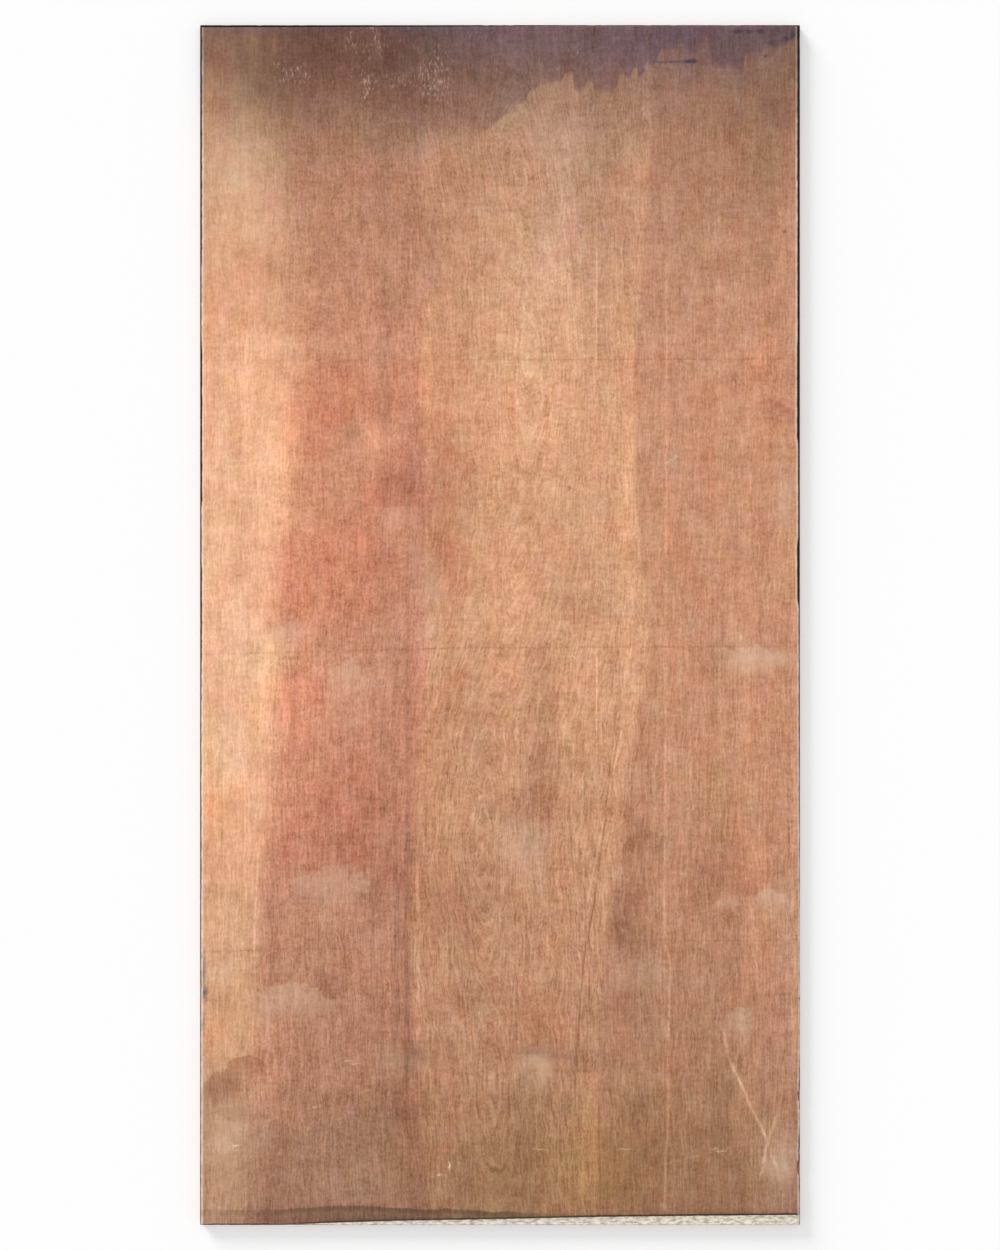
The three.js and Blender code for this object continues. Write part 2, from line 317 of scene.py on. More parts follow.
# How strongly it has stained the wood inside that front, by across
SOAKING = [
    (0, 0.85), (162, 1.0), (252, 1.0), (331, 0.8), (421, 1.0), (560, 0.95), (699, 0.9), (1000, 0.95),
    (1050, 0.85), (1220, 0.9),
]
SOAK_REACH = 600  # how far down it would come to nothing
# Going across, the front turns from soft to crisp here, and then a little softer again
CRISP_FROM, CRISP_UNTIL = (520, 590), (900, 1000)
# The stain turns from brown to purple across the sheet, less so further down, but all along the rim
PURPLE_ACROSS, PURPLE_DOWN, PURPLE_RIM = (230, 720), (20, 130), (4, 18)
# How strong it is just beyond the front, among the jags on the right, and how far down the sheet
HALO = [(0, 0), (900, 0), (950, 0.5), (1090, 0.5), (1150, 0.3), (1220, 0.35)]
HALO_DOWN = (25, 120)
# All of it fades away down the sheet: how strong it is at the end, from where, and to where, by across
FADING = [(0, 0.9), (252, 1.0), (451, 0.95), (560, 0.8), (699, 0.6), (798, 0.75), (1220, 0.8)]
FADING_FROM = 60
FADING_REACH = [
    (0, 290), (162, 320), (302, 320), (431, 310), (560, 290), (699, 260), (898, 300), (1220, 300),
]

# The other end stood in the wet too: the edge of that stain, and how dark it is, both by across
FOOT_LINE = [
    (0, 2409), (128, 2409), (187, 2407), (247, 2403), (331, 2401), (386, 2405), (451, 2409), (505, 2407),
    (609, 2413), (699, 2417), (1220, 2417),
]
FOOT_DARKNESS = [
    (0, 0.4), (123, 0.45), (153, 0.65), (321, 0.9), (609, 0.9), (679, 0.5), (739, 0.1), (1220, 0),
]

# Blots where the wet end has been rubbed, and pale flecks show
RUBBED = [
    (107, 30, 7, 14, 0.75), (150, 25, 5, 20, 0.65), (315, 32, 30, 26, 0.75), (364, 32, 5, 30, 0.95),
    (400, 22, 32, 18, 0.5), (172, 98, 35, 22, 0.6), (207, 108, 30, 22, 0.6), (262, 118, 6, 14, 0.65),
    (320, 115, 30, 30, 0.7), (334, 140, 12, 35, 0.85), (393, 106, 20, 14, 0.6), (480, 125, 36, 45, 0.85),
    (569, 115, 6, 12, 0.6), (538, 20, 4, 18, 0.9), (762, 60, 9, 16, 0.9), (732, 98, 26, 8, 0.8),
    (30, 130, 14, 30, 0.6), (700, 40, 60, 30, 0.3), (110, 95, 60, 40, 0.3), (250, 50, 110, 40, 0.25),
    (480, 90, 90, 60, 0.35), (600, 60, 60, 50, 0.25), (400, 100, 60, 30, 0.3),
]

# The lists of blots that become fields of the face, and the seed of the noise that bends each
FIELD_BLOTS = {
    "red": (RED_BLOTS, 31),
    "dark": (DARK_BLOTS, 41),
    "pale": (PALE_BLOTS, 51),
    "yellow": (YELLOW_BLOTS, 35),
    "rubbed": (RUBBED, 61),
}

# Where the face has sunk along each joint under it, from the stained end down: how far the line strays
# from the joint, and how dark it is with dirt and painted shade, both by across
LINE_STRAY = [
    [(0, 3), (1220, 3)],
    [(0, 8), (1220, 4)],
    [(0, 1), (190, -5), (560, -14), (1220, -16)],
    [(0, 0), (190, -6), (650, -6), (900, -22), (1220, -24)],
]
LINE_DIRT_AND_SHADE = [
    [(0, 0.1), (900, 0.1), (1220, 0.1)],
    [(0, 0.1), (430, 0.3), (640, 0.5), (700, 0.8), (1160, 0.9), (1220, 0.3)],
    [(0, 0.7), (350, 0.7), (420, 0.9), (730, 0.7), (745, 1.0), (1000, 1.0), (1020, 0.7), (1220, 0.5)],
    [(0, 0.9), (260, 0.6), (300, 0.15), (560, 0.3), (900, 0.3), (1020, 0.7), (1220, 0.7)],
]

# Fine lines along the sheet: points as (along, across), half-width, and strengths as (along, strength)
PALE_LINES = [
    ([(1300, 947), (1870, 944), (1900, 956), (2065, 953), (2260, 951), (2310, 947), (2415, 945)], 4.5,
     [(1280, 0), (1310, 0.5), (1850, 0.6), (1950, 0.8), (2010, 1.1), (2200, 1.3), (2405, 1.4), (2415, 0)]),
    ([(2310, 965), (2400, 970)], 3, [(2300, 0), (2315, 0.5), (2380, 0.5), (2400, 0)]),
    ([(728, 1033), (770, 1052), (817, 1081)], 3, [(728, 0), (745, 0.5), (800, 0.5), (817, 0)]),
    ([(1410, 1017), (1530, 996), (1616, 1005)], 3, [(1410, 0), (1440, 1.0), (1590, 0.8), (1616, 0)]),
    ([(2025, 1055), (2055, 1067), (2100, 1075), (2126, 1087), (2159, 1103), (2204, 1122), (2243, 1143),
      (2273, 1155), (2296, 1161), (2334, 1178)], 6,
     [(2025, 0), (2034, 1.0), (2066, 1.4), (2270, 1.5), (2300, 1.0), (2334, 0)]),
    ([(2200, 1181), (2231, 1168), (2257, 1158), (2276, 1152), (2296, 1148), (2341, 1142)], 6,
     [(2190, 0), (2205, 0.6), (2250, 0.9), (2270, 1.4), (2335, 1.4), (2345, 0)]),
    ([(1640, 122), (1779, 113), (1942, 107)], 4, [(1640, 0), (1700, 0.9), (1890, 0.9), (1942, 0)]),
    ([(2387, 93), (2416, 91), (2437, 84)], 3, [(2360, 0), (2387, 1.4), (2434, 1.4), (2438, 0)]),
    ([(1280, 807), (1465, 806)], 3, [(1270, 0), (1300, 1.3), (1440, 0.9), (1475, 0)]),
    ([(437, 949), (1280, 948)], 3, [(437, 0), (500, 0.4), (1250, 0.35), (1280, 0)]),
    ([(2271, 1126), (2298, 1017), (2322, 925), (2332, 895), (2348, 789)], 12,
     [(2268, 0), (2275, 0.5), (2340, 0.4), (2350, 0)]),
    ([(1413, 862), (1820, 780), (1925, 768)], 3, [(1400, 0), (1440, 0.8), (1890, 0.7), (1925, 0)]),
    ([(385, 807), (689, 806)], 3.2, [(370, 0), (400, 1.0), (680, 0.9), (700, 0)]),
    ([(1713, 442), (2088, 444)], 8, [(1690, 0), (1750, 0.6), (2050, 0.5), (2088, 0)]),
    ([(2361, 205), (2406, 199)], 3, [(2355, 0), (2365, 0.3), (2400, 0.3), (2410, 0)]),
]
DARK_LINES = [
    ([(1088, 879), (1251, 844), (1300, 854), (1470, 838), (1641, 821), (1787, 801), (1901, 780),
      (2055, 768), (2235, 759)], 4,
     [(1088, 0), (1125, 0.25), (1500, 0.4), (1640, 0.8), (1700, 0.9), (1725, 0.35), (1765, 1.0),
      (1880, 0.8), (2200, 0.5), (2235, 0)]),
    ([(1540, 748), (1657, 754), (1743, 760)], 3, [(1540, 0), (1600, 0.7), (1700, 0.7), (1743, 0)]),
    ([(1415, 905), (1452, 895), (1525, 878), (1600, 876)], 3,
     [(1400, 0), (1440, 0.8), (1570, 0.7), (1600, 0)]),
    ([(1608, 419), (2259, 419)], 9, [(1608, 0), (1670, 0.35), (2190, 0.35), (2259, 0)]),
    ([(214, 437), (416, 448), (498, 488)], 7, [(200, 0), (230, 0.25), (430, 0.3), (470, 0.5), (510, 0)]),
    ([(2175, 811), (2338, 813)], 3, [(2175, 0), (2210, 0.6), (2330, 0.6), (2338, 0)]),
    ([(1880, 939), (2000, 943)], 3, [(1880, 0), (1910, 0.5), (1980, 0.5), (2000, 0)]),
]

# Patches that a puddle left, pale or dark, with a crisp edge at the end where it stopped: across, along,
# half-width, half-length (below 0 where that is the lower end) and strength
PALE_PUDDLES = [
    (84, 2268, 62, 46, 0.2), (264, 1765, 80, 50, 0.25), (190, 1998, 78, 42, 0.24),
    (300, 1342, 46, 50, 0.24), (404, 1008, 34, 22, 0.16), (1068, 1790, 28, 20, 0.25),
    (1168, 1795, 34, 40, 0.2), (1098, 2024, 28, 22, 0.2), (895, 1945, 70, 50, 0.14),
    (1130, 1292, 62, 34, 0.25), (170, 1235, 40, 22, 0.2), (1176, 2330, 30, 45, 0.2),
]
DARK_PUDDLES = [
    (92, 2132, 46, 34, 0.75), (45, 2165, 42, 34, 0.6), (1185, 1730, 30, -38, 0.5),
    (1100, 1735, 55, -36, 0.4),
]

# Small marks, by colour: across, along, half-width, half-length and strength
DARK_RED, OLIVE, EMBER = (166, 84, 58), (150, 112, 84), (250, 166, 130)
UMBER, SLATE, INK, CREAM = (128, 86, 70), (104, 90, 90), (62, 52, 66), (240, 214, 182)
MARKS = {
    DARK_RED: [
        (1174, 773, 14, 7, 0.5), (1192, 785, 10, 7, 0.45), (1158, 764, 10, 5, 0.35), (751, 941, 4, 6, 0.6),
    ],
    OLIVE: [(310, 830, 14, 17, 0.3)],
    EMBER: [(324, 1048, 5, 26, 0.35), (334, 1054, 5, 22, 0.4)],
    UMBER: [
        (669, 2089, 40, 5, 0.22), (744, 2099, 45, 5, 0.22), (440, 2088, 14, 7, 0.3),
        (456, 2102, 12, 7, 0.25), (170, 197, 2, 11, 0.4), (189, 346, 2, 8, 0.35),
    ],
    SLATE: [(6, 1925, 7, 38, 0.55), (9, 1968, 6, 16, 0.7), (5, 2030, 5, 22, 0.5)],
    INK: [
        (994, 74, 14, 3.5, 0.8), (1004, 73, 7, 4, 0.7), (962, 75, 26, 2.5, 0.6), (935, 76, 18, 2.2, 0.45),
        (1094, 13, 10, 5, 0.7), (1116, 14, 8, 4, 0.6), (1140, 12, 8, 5, 0.7), (1193, 28, 7, 5, 0.8),
        (1204, 21, 5, 8, 0.8), (1162, 37, 6, 5, 0.6), (1150, 64, 4, 4, 0.6), (1188, 420, 4, 3, 0.5),
    ],
    CREAM: [
        (691, 2286, 12, 1.3, 0.35), (863, 2286, 15, 1.3, 0.35), (1048, 2285, 8, 1.3, 0.3),
        (1060, 2290, 11, 1.3, 0.35), (507, 2320, 1.8, 8, 0.6), (486, 2339, 5, 1.6, 0.5),
        (73, 2279, 7, 1.8, 0.6), (234, 2200, 4, 2, 0.4), (302, 2107, 12, 1, 0.35),
        (316, 2112, 8, 1.2, 0.4), (1099, 1243, 2.5, 12, 0.45), (783, 674, 5, 3, 0.35),
        (951, 890, 6, 3, 0.22), (960, 884, 6, 3, 0.28), (968, 878, 5, 3, 0.22),
    ],
}

# How far in from each side and end a black line of painted shade runs along the arris, by along (sides)
# and by across (ends)
LEFT_SHADE_RIM = [
    (0, 3.8), (150, 3.6), (200, 3.9), (470, 3.8), (490, 3.1), (640, 3.1), (655, 4.5), (965, 4.3),
    (980, 3.3), (1090, 3.3), (1105, 4.1), (1280, 3.9), (1310, 3.1), (1400, 2.8), (1720, 2.8), (1790, 2.5),
    (2000, 2.2), (2120, 2.0), (2200, 2.1), (2440, 1.8),
]
RIGHT_SHADE_RIM = [
    (0, 5.2), (640, 5.0), (655, 5.8), (840, 5.8), (855, 3.8), (1045, 3.8), (1060, 6.0), (1165, 5.2),
    (1185, 2.4), (1500, 2.2), (1590, 1.6), (1740, 1.2), (1800, 0.2), (2090, 0.2), (2120, 1.6), (2190, 1.6),
    (2215, 0.6), (2250, 0.9), (2270, 2.6), (2300, 2.6), (2320, 1.5), (2440, 1.1),
]
FAR_SHADE_RIM = [
    (0, 4.8), (200, 4.4), (400, 3.6), (560, 2.8), (700, 2.2), (820, 1.6), (1020, 1.6), (1170, 2.0),
    (1220, 2.6),
]
NEAR_SHADE_RIM = [(0, 1.0), (27, 2.8), (140, 2.8), (170, 1.6), (260, 0.8), (300, 0), (1220, 0)]

# A strip of the outermost veneer has split off along the near end: its width, and how dark a painted
# shadow line along its edge is, both by across
BARE_WIDTH = [
    (0, 0), (150, 0), (274, 5), (407, 9), (540, 11), (670, 13.5), (800, 16.5), (935, 18), (1068, 19.5),
    (1220, 20.7),
]
BARE_EDGE_SHADOW = [(0, 0), (150, 0), (220, 0.7), (540, 0.75), (800, 0.9), (1068, 1.0), (1220, 1.0)]

# The middle of the flame figure that the knife left in the tan band, as (along, across), and the
# closed ovals along it: along, half-length, half-width
FLAME = [
    (0, 634), (212, 639), (356, 659), (669, 675), (967, 667), (1210, 639), (1414, 590), (1697, 570),
    (1980, 585), (2440, 609),
]
FLAME_MIDDLE, FLAME_REACH, FLAME_ROUNDING = 620, 260, 30
FLAME_OVALS = [(670, 300, 60), (260, 120, 40), (1090, 90, 25), (1700, 190, 40), (2150, 140, 30)]


def along_grain(x, y, entries):
    """The sum of the streaks, each a soft line that wavers a little as it follows the grain."""
    waver = 6 * cloud(x, y, 80, 600, 3)
    total = np.zeros_like(x)
    for middle, half, top, bottom, strength in entries:
        line = np.exp(-(((x + waver - middle) / half) ** 2))
        begun = smoothstep(top - STREAK_FADE, top + STREAK_FADE, y)
        ended = smoothstep(bottom - STREAK_FADE, bottom + STREAK_FADE, y)
        total += strength * line * begun * (1 - ended)
    return total


def soft_blots(x, y, entries, seed):
    """The sum of the blots, their outlines bent by noise."""
    shift_x = BLOT_BEND * cloud(x, y, 60, 90, seed)
    shift_y = BLOT_BEND * cloud(x, y, 60, 90, seed + 7)
    total = np.zeros_like(x)
    for middle_x, middle_y, half_x, half_y, strength in entries:
        radius = np.hypot((x + shift_x - middle_x) / half_x, (y + shift_y - middle_y) / half_y)
        total += strength * np.exp(-0.7 * radius**2)
    return total


def puddles(x, y, entries):
    """How far inside the nearest puddle's edge, in millimetres, and how strong the puddle is there."""
    inside = np.full_like(x, -50)  # well outside them all
    depth = np.zeros_like(x)
    for middle_x, middle_y, half_x, half_y, strength in entries:
        down = (y - middle_y) / half_y
        edge = (1 - np.hypot((x - middle_x) / half_x, down)) * min(half_x, abs(half_y))
        depth = np.where(edge > inside, strength * (1 - smoothstep(-0.6, 0.95, down)), depth)
        inside = np.maximum(inside, edge)
    return inside, depth


def by_band(x, y, values):
    """A number or a colour that each band of the wood has its own value of."""
    wander = 7 * cloud(x, y, 70, 420, 11) + 6 * cloud(x, y, 14, 240, 12)
    values = np.array(values, float)
    blend = np.broadcast_to(values[0], (len(x), *values[0].shape)).copy()
    for (border, softness), value in zip(BORDERS, values[1:]):
        share = 0.5 + (x + wander - curve(border, y)) / (2 * curve(softness, y))
        share = smoothstep(0, 1, share).reshape(-1, *[1] * values[0].ndim)
        blend += (value - blend) * share
    return blend


def wood_colour(x, y):
    """The bare wood's colour, in linear light, streaked, with sun bleaching and painted light falloff
    along the sheet.
    """
    marks = along_grain(x, y, STREAKS) + soft_blots(x, y, BRIGHT_BLOTS, 45)
    brightness = curve(BLEACHING_AND_LIGHT_FALLOFF, y) * (1 + marks)
    return by_band(x, y, [linear(*band) for band in BANDS]) * (brightness**DISPLAY_GAMMA)[:, None]


def ring_height(x, y):
    """How deep in the growth rings the knife ran. The grain follows its contour lines."""
    near_flame = np.exp(-(((x - FLAME_MIDDLE) / FLAME_REACH) ** 2))
    middle = FLAME_MIDDLE + (curve(FLAME, y) - FLAME_MIDDLE) * near_flame
    height = np.hypot(x - middle, FLAME_ROUNDING)
    height += 7 * cloud(x, y, 180, 600, 23) + 2 * cloud(x, y, 60, 160, 24)
    for along, half_length, half_width in FLAME_OVALS:
        bulge = np.exp(-(((y - along) / half_length) ** 2) - ((x - middle) / (1.6 * half_width)) ** 2)
        height -= half_width * bulge
    return height


def sunken_lines(x, y):
    """For each joint right under the face: how near its line is, 1 on the line itself, and its dirt and
    painted shade.
    """
    for joint, stray, dirt in zip(FACE_JOINTS, LINE_STRAY, LINE_DIRT_AND_SHADE):
        yield np.exp(-(((y - joint - curve(stray, x)) / GROOVE_HALF) ** 2)), curve(dirt, x)


def wet_fields(x, y):
    """The stains that the wet has left at both ends of the sheet."""
    left, right = 1 - smoothstep(*CRISP_FROM, x), smoothstep(*CRISP_UNTIL, x)
    purple = smoothstep(*PURPLE_ACROSS, x) * (1 - 0.55 * smoothstep(*PURPLE_DOWN, y))
    return {
        "wet": curve(WET_FRONT, x) - y,
        "wet_softness": 5 + 50 * left + 11 * right,
        "soaking": curve(SOAKING, x) * (1 - y / SOAK_REACH),
        "halo": curve(HALO, x) * (1 - smoothstep(*HALO_DOWN, y)),
        "fade": curve(FADING, x) * (1 - smoothstep(FADING_FROM, curve(FADING_REACH, x), y)),
        "purple": purple + 0.6 * (1 - smoothstep(*PURPLE_RIM, y)),
        "foot": y - curve(FOOT_LINE, x),
        "foot_darkness": curve(FOOT_DARKNESS, x),
    }


def face_fields(x, y):
    """Every field that the face's material reads, at these places."""
    fields = wet_fields(x, y)
    for name, (blots, seed) in FIELD_BLOTS.items():
        fields[name] = soft_blots(x, y, blots, seed)
    for name, values in BAND_TRAITS.items():
        fields[name] = by_band(x, y, values)
    fields["grain"] *= 0.85 + 0.35 * smoothstep(*GRAIN_DOWN, y)
    fields["rings"] = ring_height(x, y)
    fields["washed_shore"], fields["washed"] = puddles(x, y, PALE_PUDDLES)
    fields["muddied_shore"], fields["muddied"] = puddles(x, y, DARK_PUDDLES)
    fields["line_dirt_and_shade"] = sum(near * dirt for near, dirt in sunken_lines(x, y))
    # How wide the black rim of painted shade is, along the sides and the ends
    fields["side_shade_rim"] = np.where(x < WIDTH / 2, curve(LEFT_SHADE_RIM, y), curve(RIGHT_SHADE_RIM, y))
    fields["end_shade_rim"] = np.where(y < LENGTH / 2, curve(FAR_SHADE_RIM, x), curve(NEAR_SHADE_RIM, x))
    fields["bare"] = curve(BARE_WIDTH, x) - (LENGTH - y)
    fields["bare_edge_shadow"] = curve(BARE_EDGE_SHADOW, x)
    return fields


# ---- The mesh, in millimetres, with its origin where the CAD has it ----

FACE_MARGIN = 8  # the even grid of each face ends this far in from the edge
NEAR_MARGIN = 3  # the same for the face's near end, where the bare strip is
FACE_COLUMNS, FACE_ROWS = 268, 150
BACK_COLUMNS, BACK_ROWS = 30, 60
GROOVE_ROWS = (-3.2, -1.6, -0.8, 0, 0.8, 1.6, 3.2)  # extra rows of the face's grid at each joint under it
BEND_REACH = 120  # how far from such a joint those rows are bent to follow its line
BARE_ROWS = (-0.25, 0.25)  # extra rows at the edge of the bare strip
BARE_DEPTH = 0.3  # how much of the veneer has gone there
EDGE_STEP = 7.0  # between places along a sawn edge
TEAR_STEP = 1.5  # the same, along a tear
EDGE_STRAY, EDGE_CLEAR = 0.3, 0.25  # how far a place strays, and keeps from exact ones, in EDGE_STEPs
ARC_STEPS = 4  # in each rounded corner
WALL = 0.05  # how far the wall of an open joint leans
GLUE_LINE = 0.08  # the flat of a ply's edge stops this far from the glue
ARRIS = 0.15  # how far the sharp edges of the sheet are worn
GROOVE_DEPTH, GROOVE_HALF = 0.14, 1.6  # where the face has sunk along a joint under it
SWELL = 0.12  # slow rise and fall of the face
RAGGED_END_GRAIN, RAGGED_SIDE_GRAIN = 0.22, 0.1  # roughness of the sawn plies
CHIPS = 90  # small splinters lost from the outer plies
CHIP_HALF_LENGTHS, CHIP_DEPTHS = (3, 9), (0.3, 1.3)
CHIP_MARGIN = 30  # none is nearer to a corner
DRAW_SEED = 5

# The outline runs anticlockwise: the right edge, the far, the left and the near. For each of them,
# its outward direction and its length.
EDGES = [((1, 0), LENGTH), ((0, 1), WIDTH), ((-1, 0), LENGTH), ((0, -1), WIDTH)]

# Surfaces, in the order of the sheet's material slots
FACE, BACK, LENGTHWISE_PLY, CROSSWISE_PLY, GLUE = range(5)


def is_crosswise(ply):
    return ply % 2 == 1


def ply_joints():
    """For each inner ply, how far its joints are from the near end (crosswise) or from the left edge."""
    joints = {}
    for step in range(CROSSBANDS):
        first = (CROSSBAND_JOINT + step * JOINT_STAGGER) % STRIP_WIDTH
        joints[PLY_COUNT - 2 - 2 * step] = np.arange(first, LENGTH - JOINT_DEPTH, STRIP_WIDTH)
    for step in range(CROSSBANDS - 1):
        first = (CORE_JOINT + step * JOINT_STAGGER) % STRIP_WIDTH
        joints[PLY_COUNT - 3 - 2 * step] = np.arange(first, WIDTH - JOINT_DEPTH, STRIP_WIDTH)
    return joints


PLY_JOINTS = ply_joints()
FACE_JOINTS = LENGTH - PLY_JOINTS[PLY_COUNT - 2][::-1]  # right under the face, from the stained end


def joints_on_edge(edge):
    """(ply, distance along the edge) of each joint that runs out to this edge."""
    (out_x, _), length = EDGES[edge]
    found = []
    for ply, joints in PLY_JOINTS.items():
        if is_crosswise(ply) == (out_x != 0):
            forward = edge in (0, 3)  # these two run away from where joints are measured
            found += [(ply, at if forward else length - at) for at in joints]
    return found


def edge_places(edge, draws):
    """Where the mesh has a column of points along one edge: evenly, and closer at joints and tears."""
    length = EDGES[edge][1]
    exact = [CORNER_RADIUS, length - CORNER_RADIUS]
    for _, joint in joints_on_edge(edge):
        for reach in (JOINT_GAP / 2, JOINT_GAP / 2 + WALL):
            exact += [joint - reach, joint + reach]
    if edge == 0:
        for middle, span, _, _ in EDGE_TEARS:
            start = middle - span / 2
            exact += list(np.arange(start - TEAR_STEP, start + span + TEAR_STEP, TEAR_STEP))
            exact.append(start + TEAR_BREAK * span)
        exact += [BARE_WIDTH[-1][1] + row for row in BARE_ROWS]
    exact = np.array(sorted({round(at, 3) for at in exact}))
    even = np.arange(EDGE_STEP, length - EDGE_STEP, EDGE_STEP)
    even = even + draws.uniform(-EDGE_STRAY, EDGE_STRAY, len(even)) * EDGE_STEP
    clear = np.abs(even[:, None] - exact[None, :]).min(1) > EDGE_CLEAR * EDGE_STEP
    return np.sort(np.concatenate([exact, even[clear]]))


def outline():
    """The columns of points round the sheet: (edge, distance along it, x, y, outward x, outward y)."""
    draws = np.random.default_rng(DRAW_SEED)
    columns = []
    for edge, (direction, length) in enumerate(EDGES):
        out = np.array(direction)
        ahead = np.array([-out[1], out[0]])
        half_out = (WIDTH if out[0] else LENGTH) / 2
        for at in edge_places(edge, draws):
            place = out * half_out + ahead * (at - length / 2)
            columns.append((edge, at, *place, *out))
        centre = out * (half_out - CORNER_RADIUS) + ahead * (length / 2 - CORNER_RADIUS)
        for step in range(1, ARC_STEPS):
            turn = math.pi / 2 * step / ARC_STEPS
            turned = out * math.cos(turn) + ahead * math.sin(turn)
            at = length - CORNER_RADIUS * (1 - math.sin(turn))
            columns.append((edge, at, *(centre + CORNER_RADIUS * turned), *turned))
    return np.array(columns)


def tear_depth(at, middle, length, depth):
    """How far a splinter's tear runs in from the edge: it deepens along the grain, then snaps off."""
    start = middle - length / 2
    deepest = TEAR_BREAK * length
    share = np.sqrt(np.clip((at - start) / deepest, 0, 1))
    whole = depth + TEAR_OUTSIDE
    running_in = depth - whole * (1 - share) ** 2
    snapped = depth - whole * (at - start - deepest) / (length - deepest)
    return np.clip(np.minimum(running_in, snapped), 0, None)


def set_back(edge, at, out_x, out_y):
    """How far each ply stands back from the sheet's outline, at each column of points."""
    back = np.zeros((len(at), PLY_COUNT))
    for ply in range(PLY_COUNT):
        end_grain = out_x**2 if is_crosswise(ply) else out_y**2
        ragged = RAGGED_SIDE_GRAIN + (RAGGED_END_GRAIN - RAGGED_SIDE_GRAIN) * end_grain
        # Every ply of every edge reads rows of the noise of its own
        fine = lattice_noise(at / 9, 7.3 * ply + 3.1 * edge, 71)
        broad = lattice_noise(at / 90, 5.7 * ply + 3.1 * edge, 72)
        back[:, ply] = EDGE_WEAR * (1 - end_grain) + ragged * fine + ragged * broad
    for number in range(len(EDGES)):
        for ply, joint in joints_on_edge(number):
            inside = (edge == number) & (np.abs(at - joint) < (JOINT_GAP + WALL) / 2)
            back[inside, ply] = JOINT_DEPTH
    for middle, length, depth, plies in EDGE_TEARS:
        torn = np.where(edge == 0, tear_depth(at, middle, length, depth), 0)
        back[:, -plies:] = np.maximum(back[:, -plies:], torn[:, None])
    draws = np.random.default_rng(DRAW_SEED)
    for _ in range(CHIPS):
        number = draws.integers(len(EDGES))
        middle = draws.uniform(CHIP_MARGIN, EDGES[number][1] - CHIP_MARGIN)
        half, depth = draws.uniform(*CHIP_HALF_LENGTHS), draws.uniform(*CHIP_DEPTHS)
        ply = draws.choice([0, PLY_COUNT - 1])
        bite = depth * np.clip(1 - ((at - middle) / half) ** 2, 0, 1)
        back[:, ply] += np.where(edge == number, bite, 0)
    return back


def relief(x, y):
    """How far the face lies below its highest level."""
    across, along = x + WIDTH / 2, LENGTH / 2 - y
    groove = sum(near for near, _ in sunken_lines(across, along))
    groove = groove * (0.35 + 0.65 * lattice_noise(x / 130, y / 40, 81))
    swell = np.clip(0.45 + 0.6 * cloud(x, y, 90, 210, 82), 0, 1)
    width = curve(BARE_WIDTH, across)
    bare = np.where(LENGTH - along < width, smoothstep(2, 5, width), 0)
    return np.maximum(GROOVE_DEPTH * groove + SWELL * swell, BARE_DEPTH * bare)


def edge_band():
    """The sawn edges as columns and rows of points, with the arris above and below them."""
    edge, at, x, y, out_x, out_y = outline().T
    back = set_back(edge, at, out_x, out_y)
    glue = OUTER_VENEER + INNER_PLY * np.arange(PLY_COUNT - 1)
    lows = [ARRIS, *(glue + GLUE_LINE)]
    highs = [*(glue - GLUE_LINE), THICKNESS - ARRIS]
    levels = [0, *np.stack([lows, highs], 1).ravel(), THICKNESS]
    heights = np.tile(levels, (len(at), 1))
    heights[:, -2:] -= relief(x, y)[:, None]
    insets = np.column_stack([back[:, 0] + ARRIS, np.repeat(back, 2, 1), back[:, -1] + ARRIS])
    band_x = x[:, None] - insets * out_x[:, None]
    band_y = y[:, None] - insets * out_y[:, None]
    return edge.astype(int), at, np.stack([band_x, band_y, heights], 2)


def band_surface(row):
    """The surface between this row of the edge band and the next."""
    if row == 0 or row == 2 * PLY_COUNT:
        return LENGTHWISE_PLY
    if row % 2 == 0:
        return GLUE
    return CROSSWISE_PLY if is_crosswise(row // 2) else LENGTHWISE_PLY


def flat_grid(columns, rows, extra_rows=(), near_margin=FACE_MARGIN):
    """The even grid of a face, row by row, with extra rows in place of those that are too near them."""
    xs = np.linspace(FACE_MARGIN - WIDTH / 2, WIDTH / 2 - FACE_MARGIN, columns + 1)
    ys = np.linspace(near_margin - LENGTH / 2, LENGTH / 2 - FACE_MARGIN, rows + 1)
    for extra in extra_rows:
        ys = ys[np.abs(ys - extra) > 2 * GROOVE_ROWS[-1]]
    ys = np.sort(np.concatenate([ys, extra_rows]))
    x, y = np.meshgrid(xs, ys)
    return np.stack([x, y, np.zeros_like(x)], 2)


def face_grid():
    """The face's grid, bent so that rows of it follow the sunken lines and the edge of the bare strip."""
    joints = LENGTH / 2 - FACE_JOINTS
    widest = BARE_WIDTH[-1][1] - LENGTH / 2
    extra_rows = [joint + row for joint in joints for row in GROOVE_ROWS]
    extra_rows += [widest + row for row in BARE_ROWS]
    grid = flat_grid(FACE_COLUMNS, FACE_ROWS, extra_rows, NEAR_MARGIN)
    across, y = grid[..., 0] + WIDTH / 2, grid[..., 1].copy()
    for joint, stray in zip(joints, LINE_STRAY):
        share = 1 - smoothstep(GROOVE_ROWS[-1], BEND_REACH, np.abs(y - joint))
        grid[..., 1] -= share * curve(stray, across)
    narrower = BARE_WIDTH[-1][1] - np.maximum(curve(BARE_WIDTH, across), NEAR_MARGIN + 1)
    below = (y - y.min()) / (widest - y.min())
    above = 1 - smoothstep(widest, widest + BEND_REACH, y)
    grid[..., 1] -= np.where(y < widest, below, above) * narrower
    grid[..., 2] = THICKNESS - relief(grid[..., 0], grid[..., 1])
    return grid


def grid_faces(rows, columns, first):
    """The squares of a grid whose points are numbered from first, and its border, anticlockwise."""
    number = first + np.arange(rows * columns).reshape(rows, columns)
    corners = [number[:-1, :-1], number[:-1, 1:], number[1:, 1:], number[1:, :-1]]
    border = [*number[:-1, -1], *number[-1, :0:-1], *number[:0:-1, 0], *number[0, :-1]]
    return np.stack(corners, 2).reshape(-1, 4), border


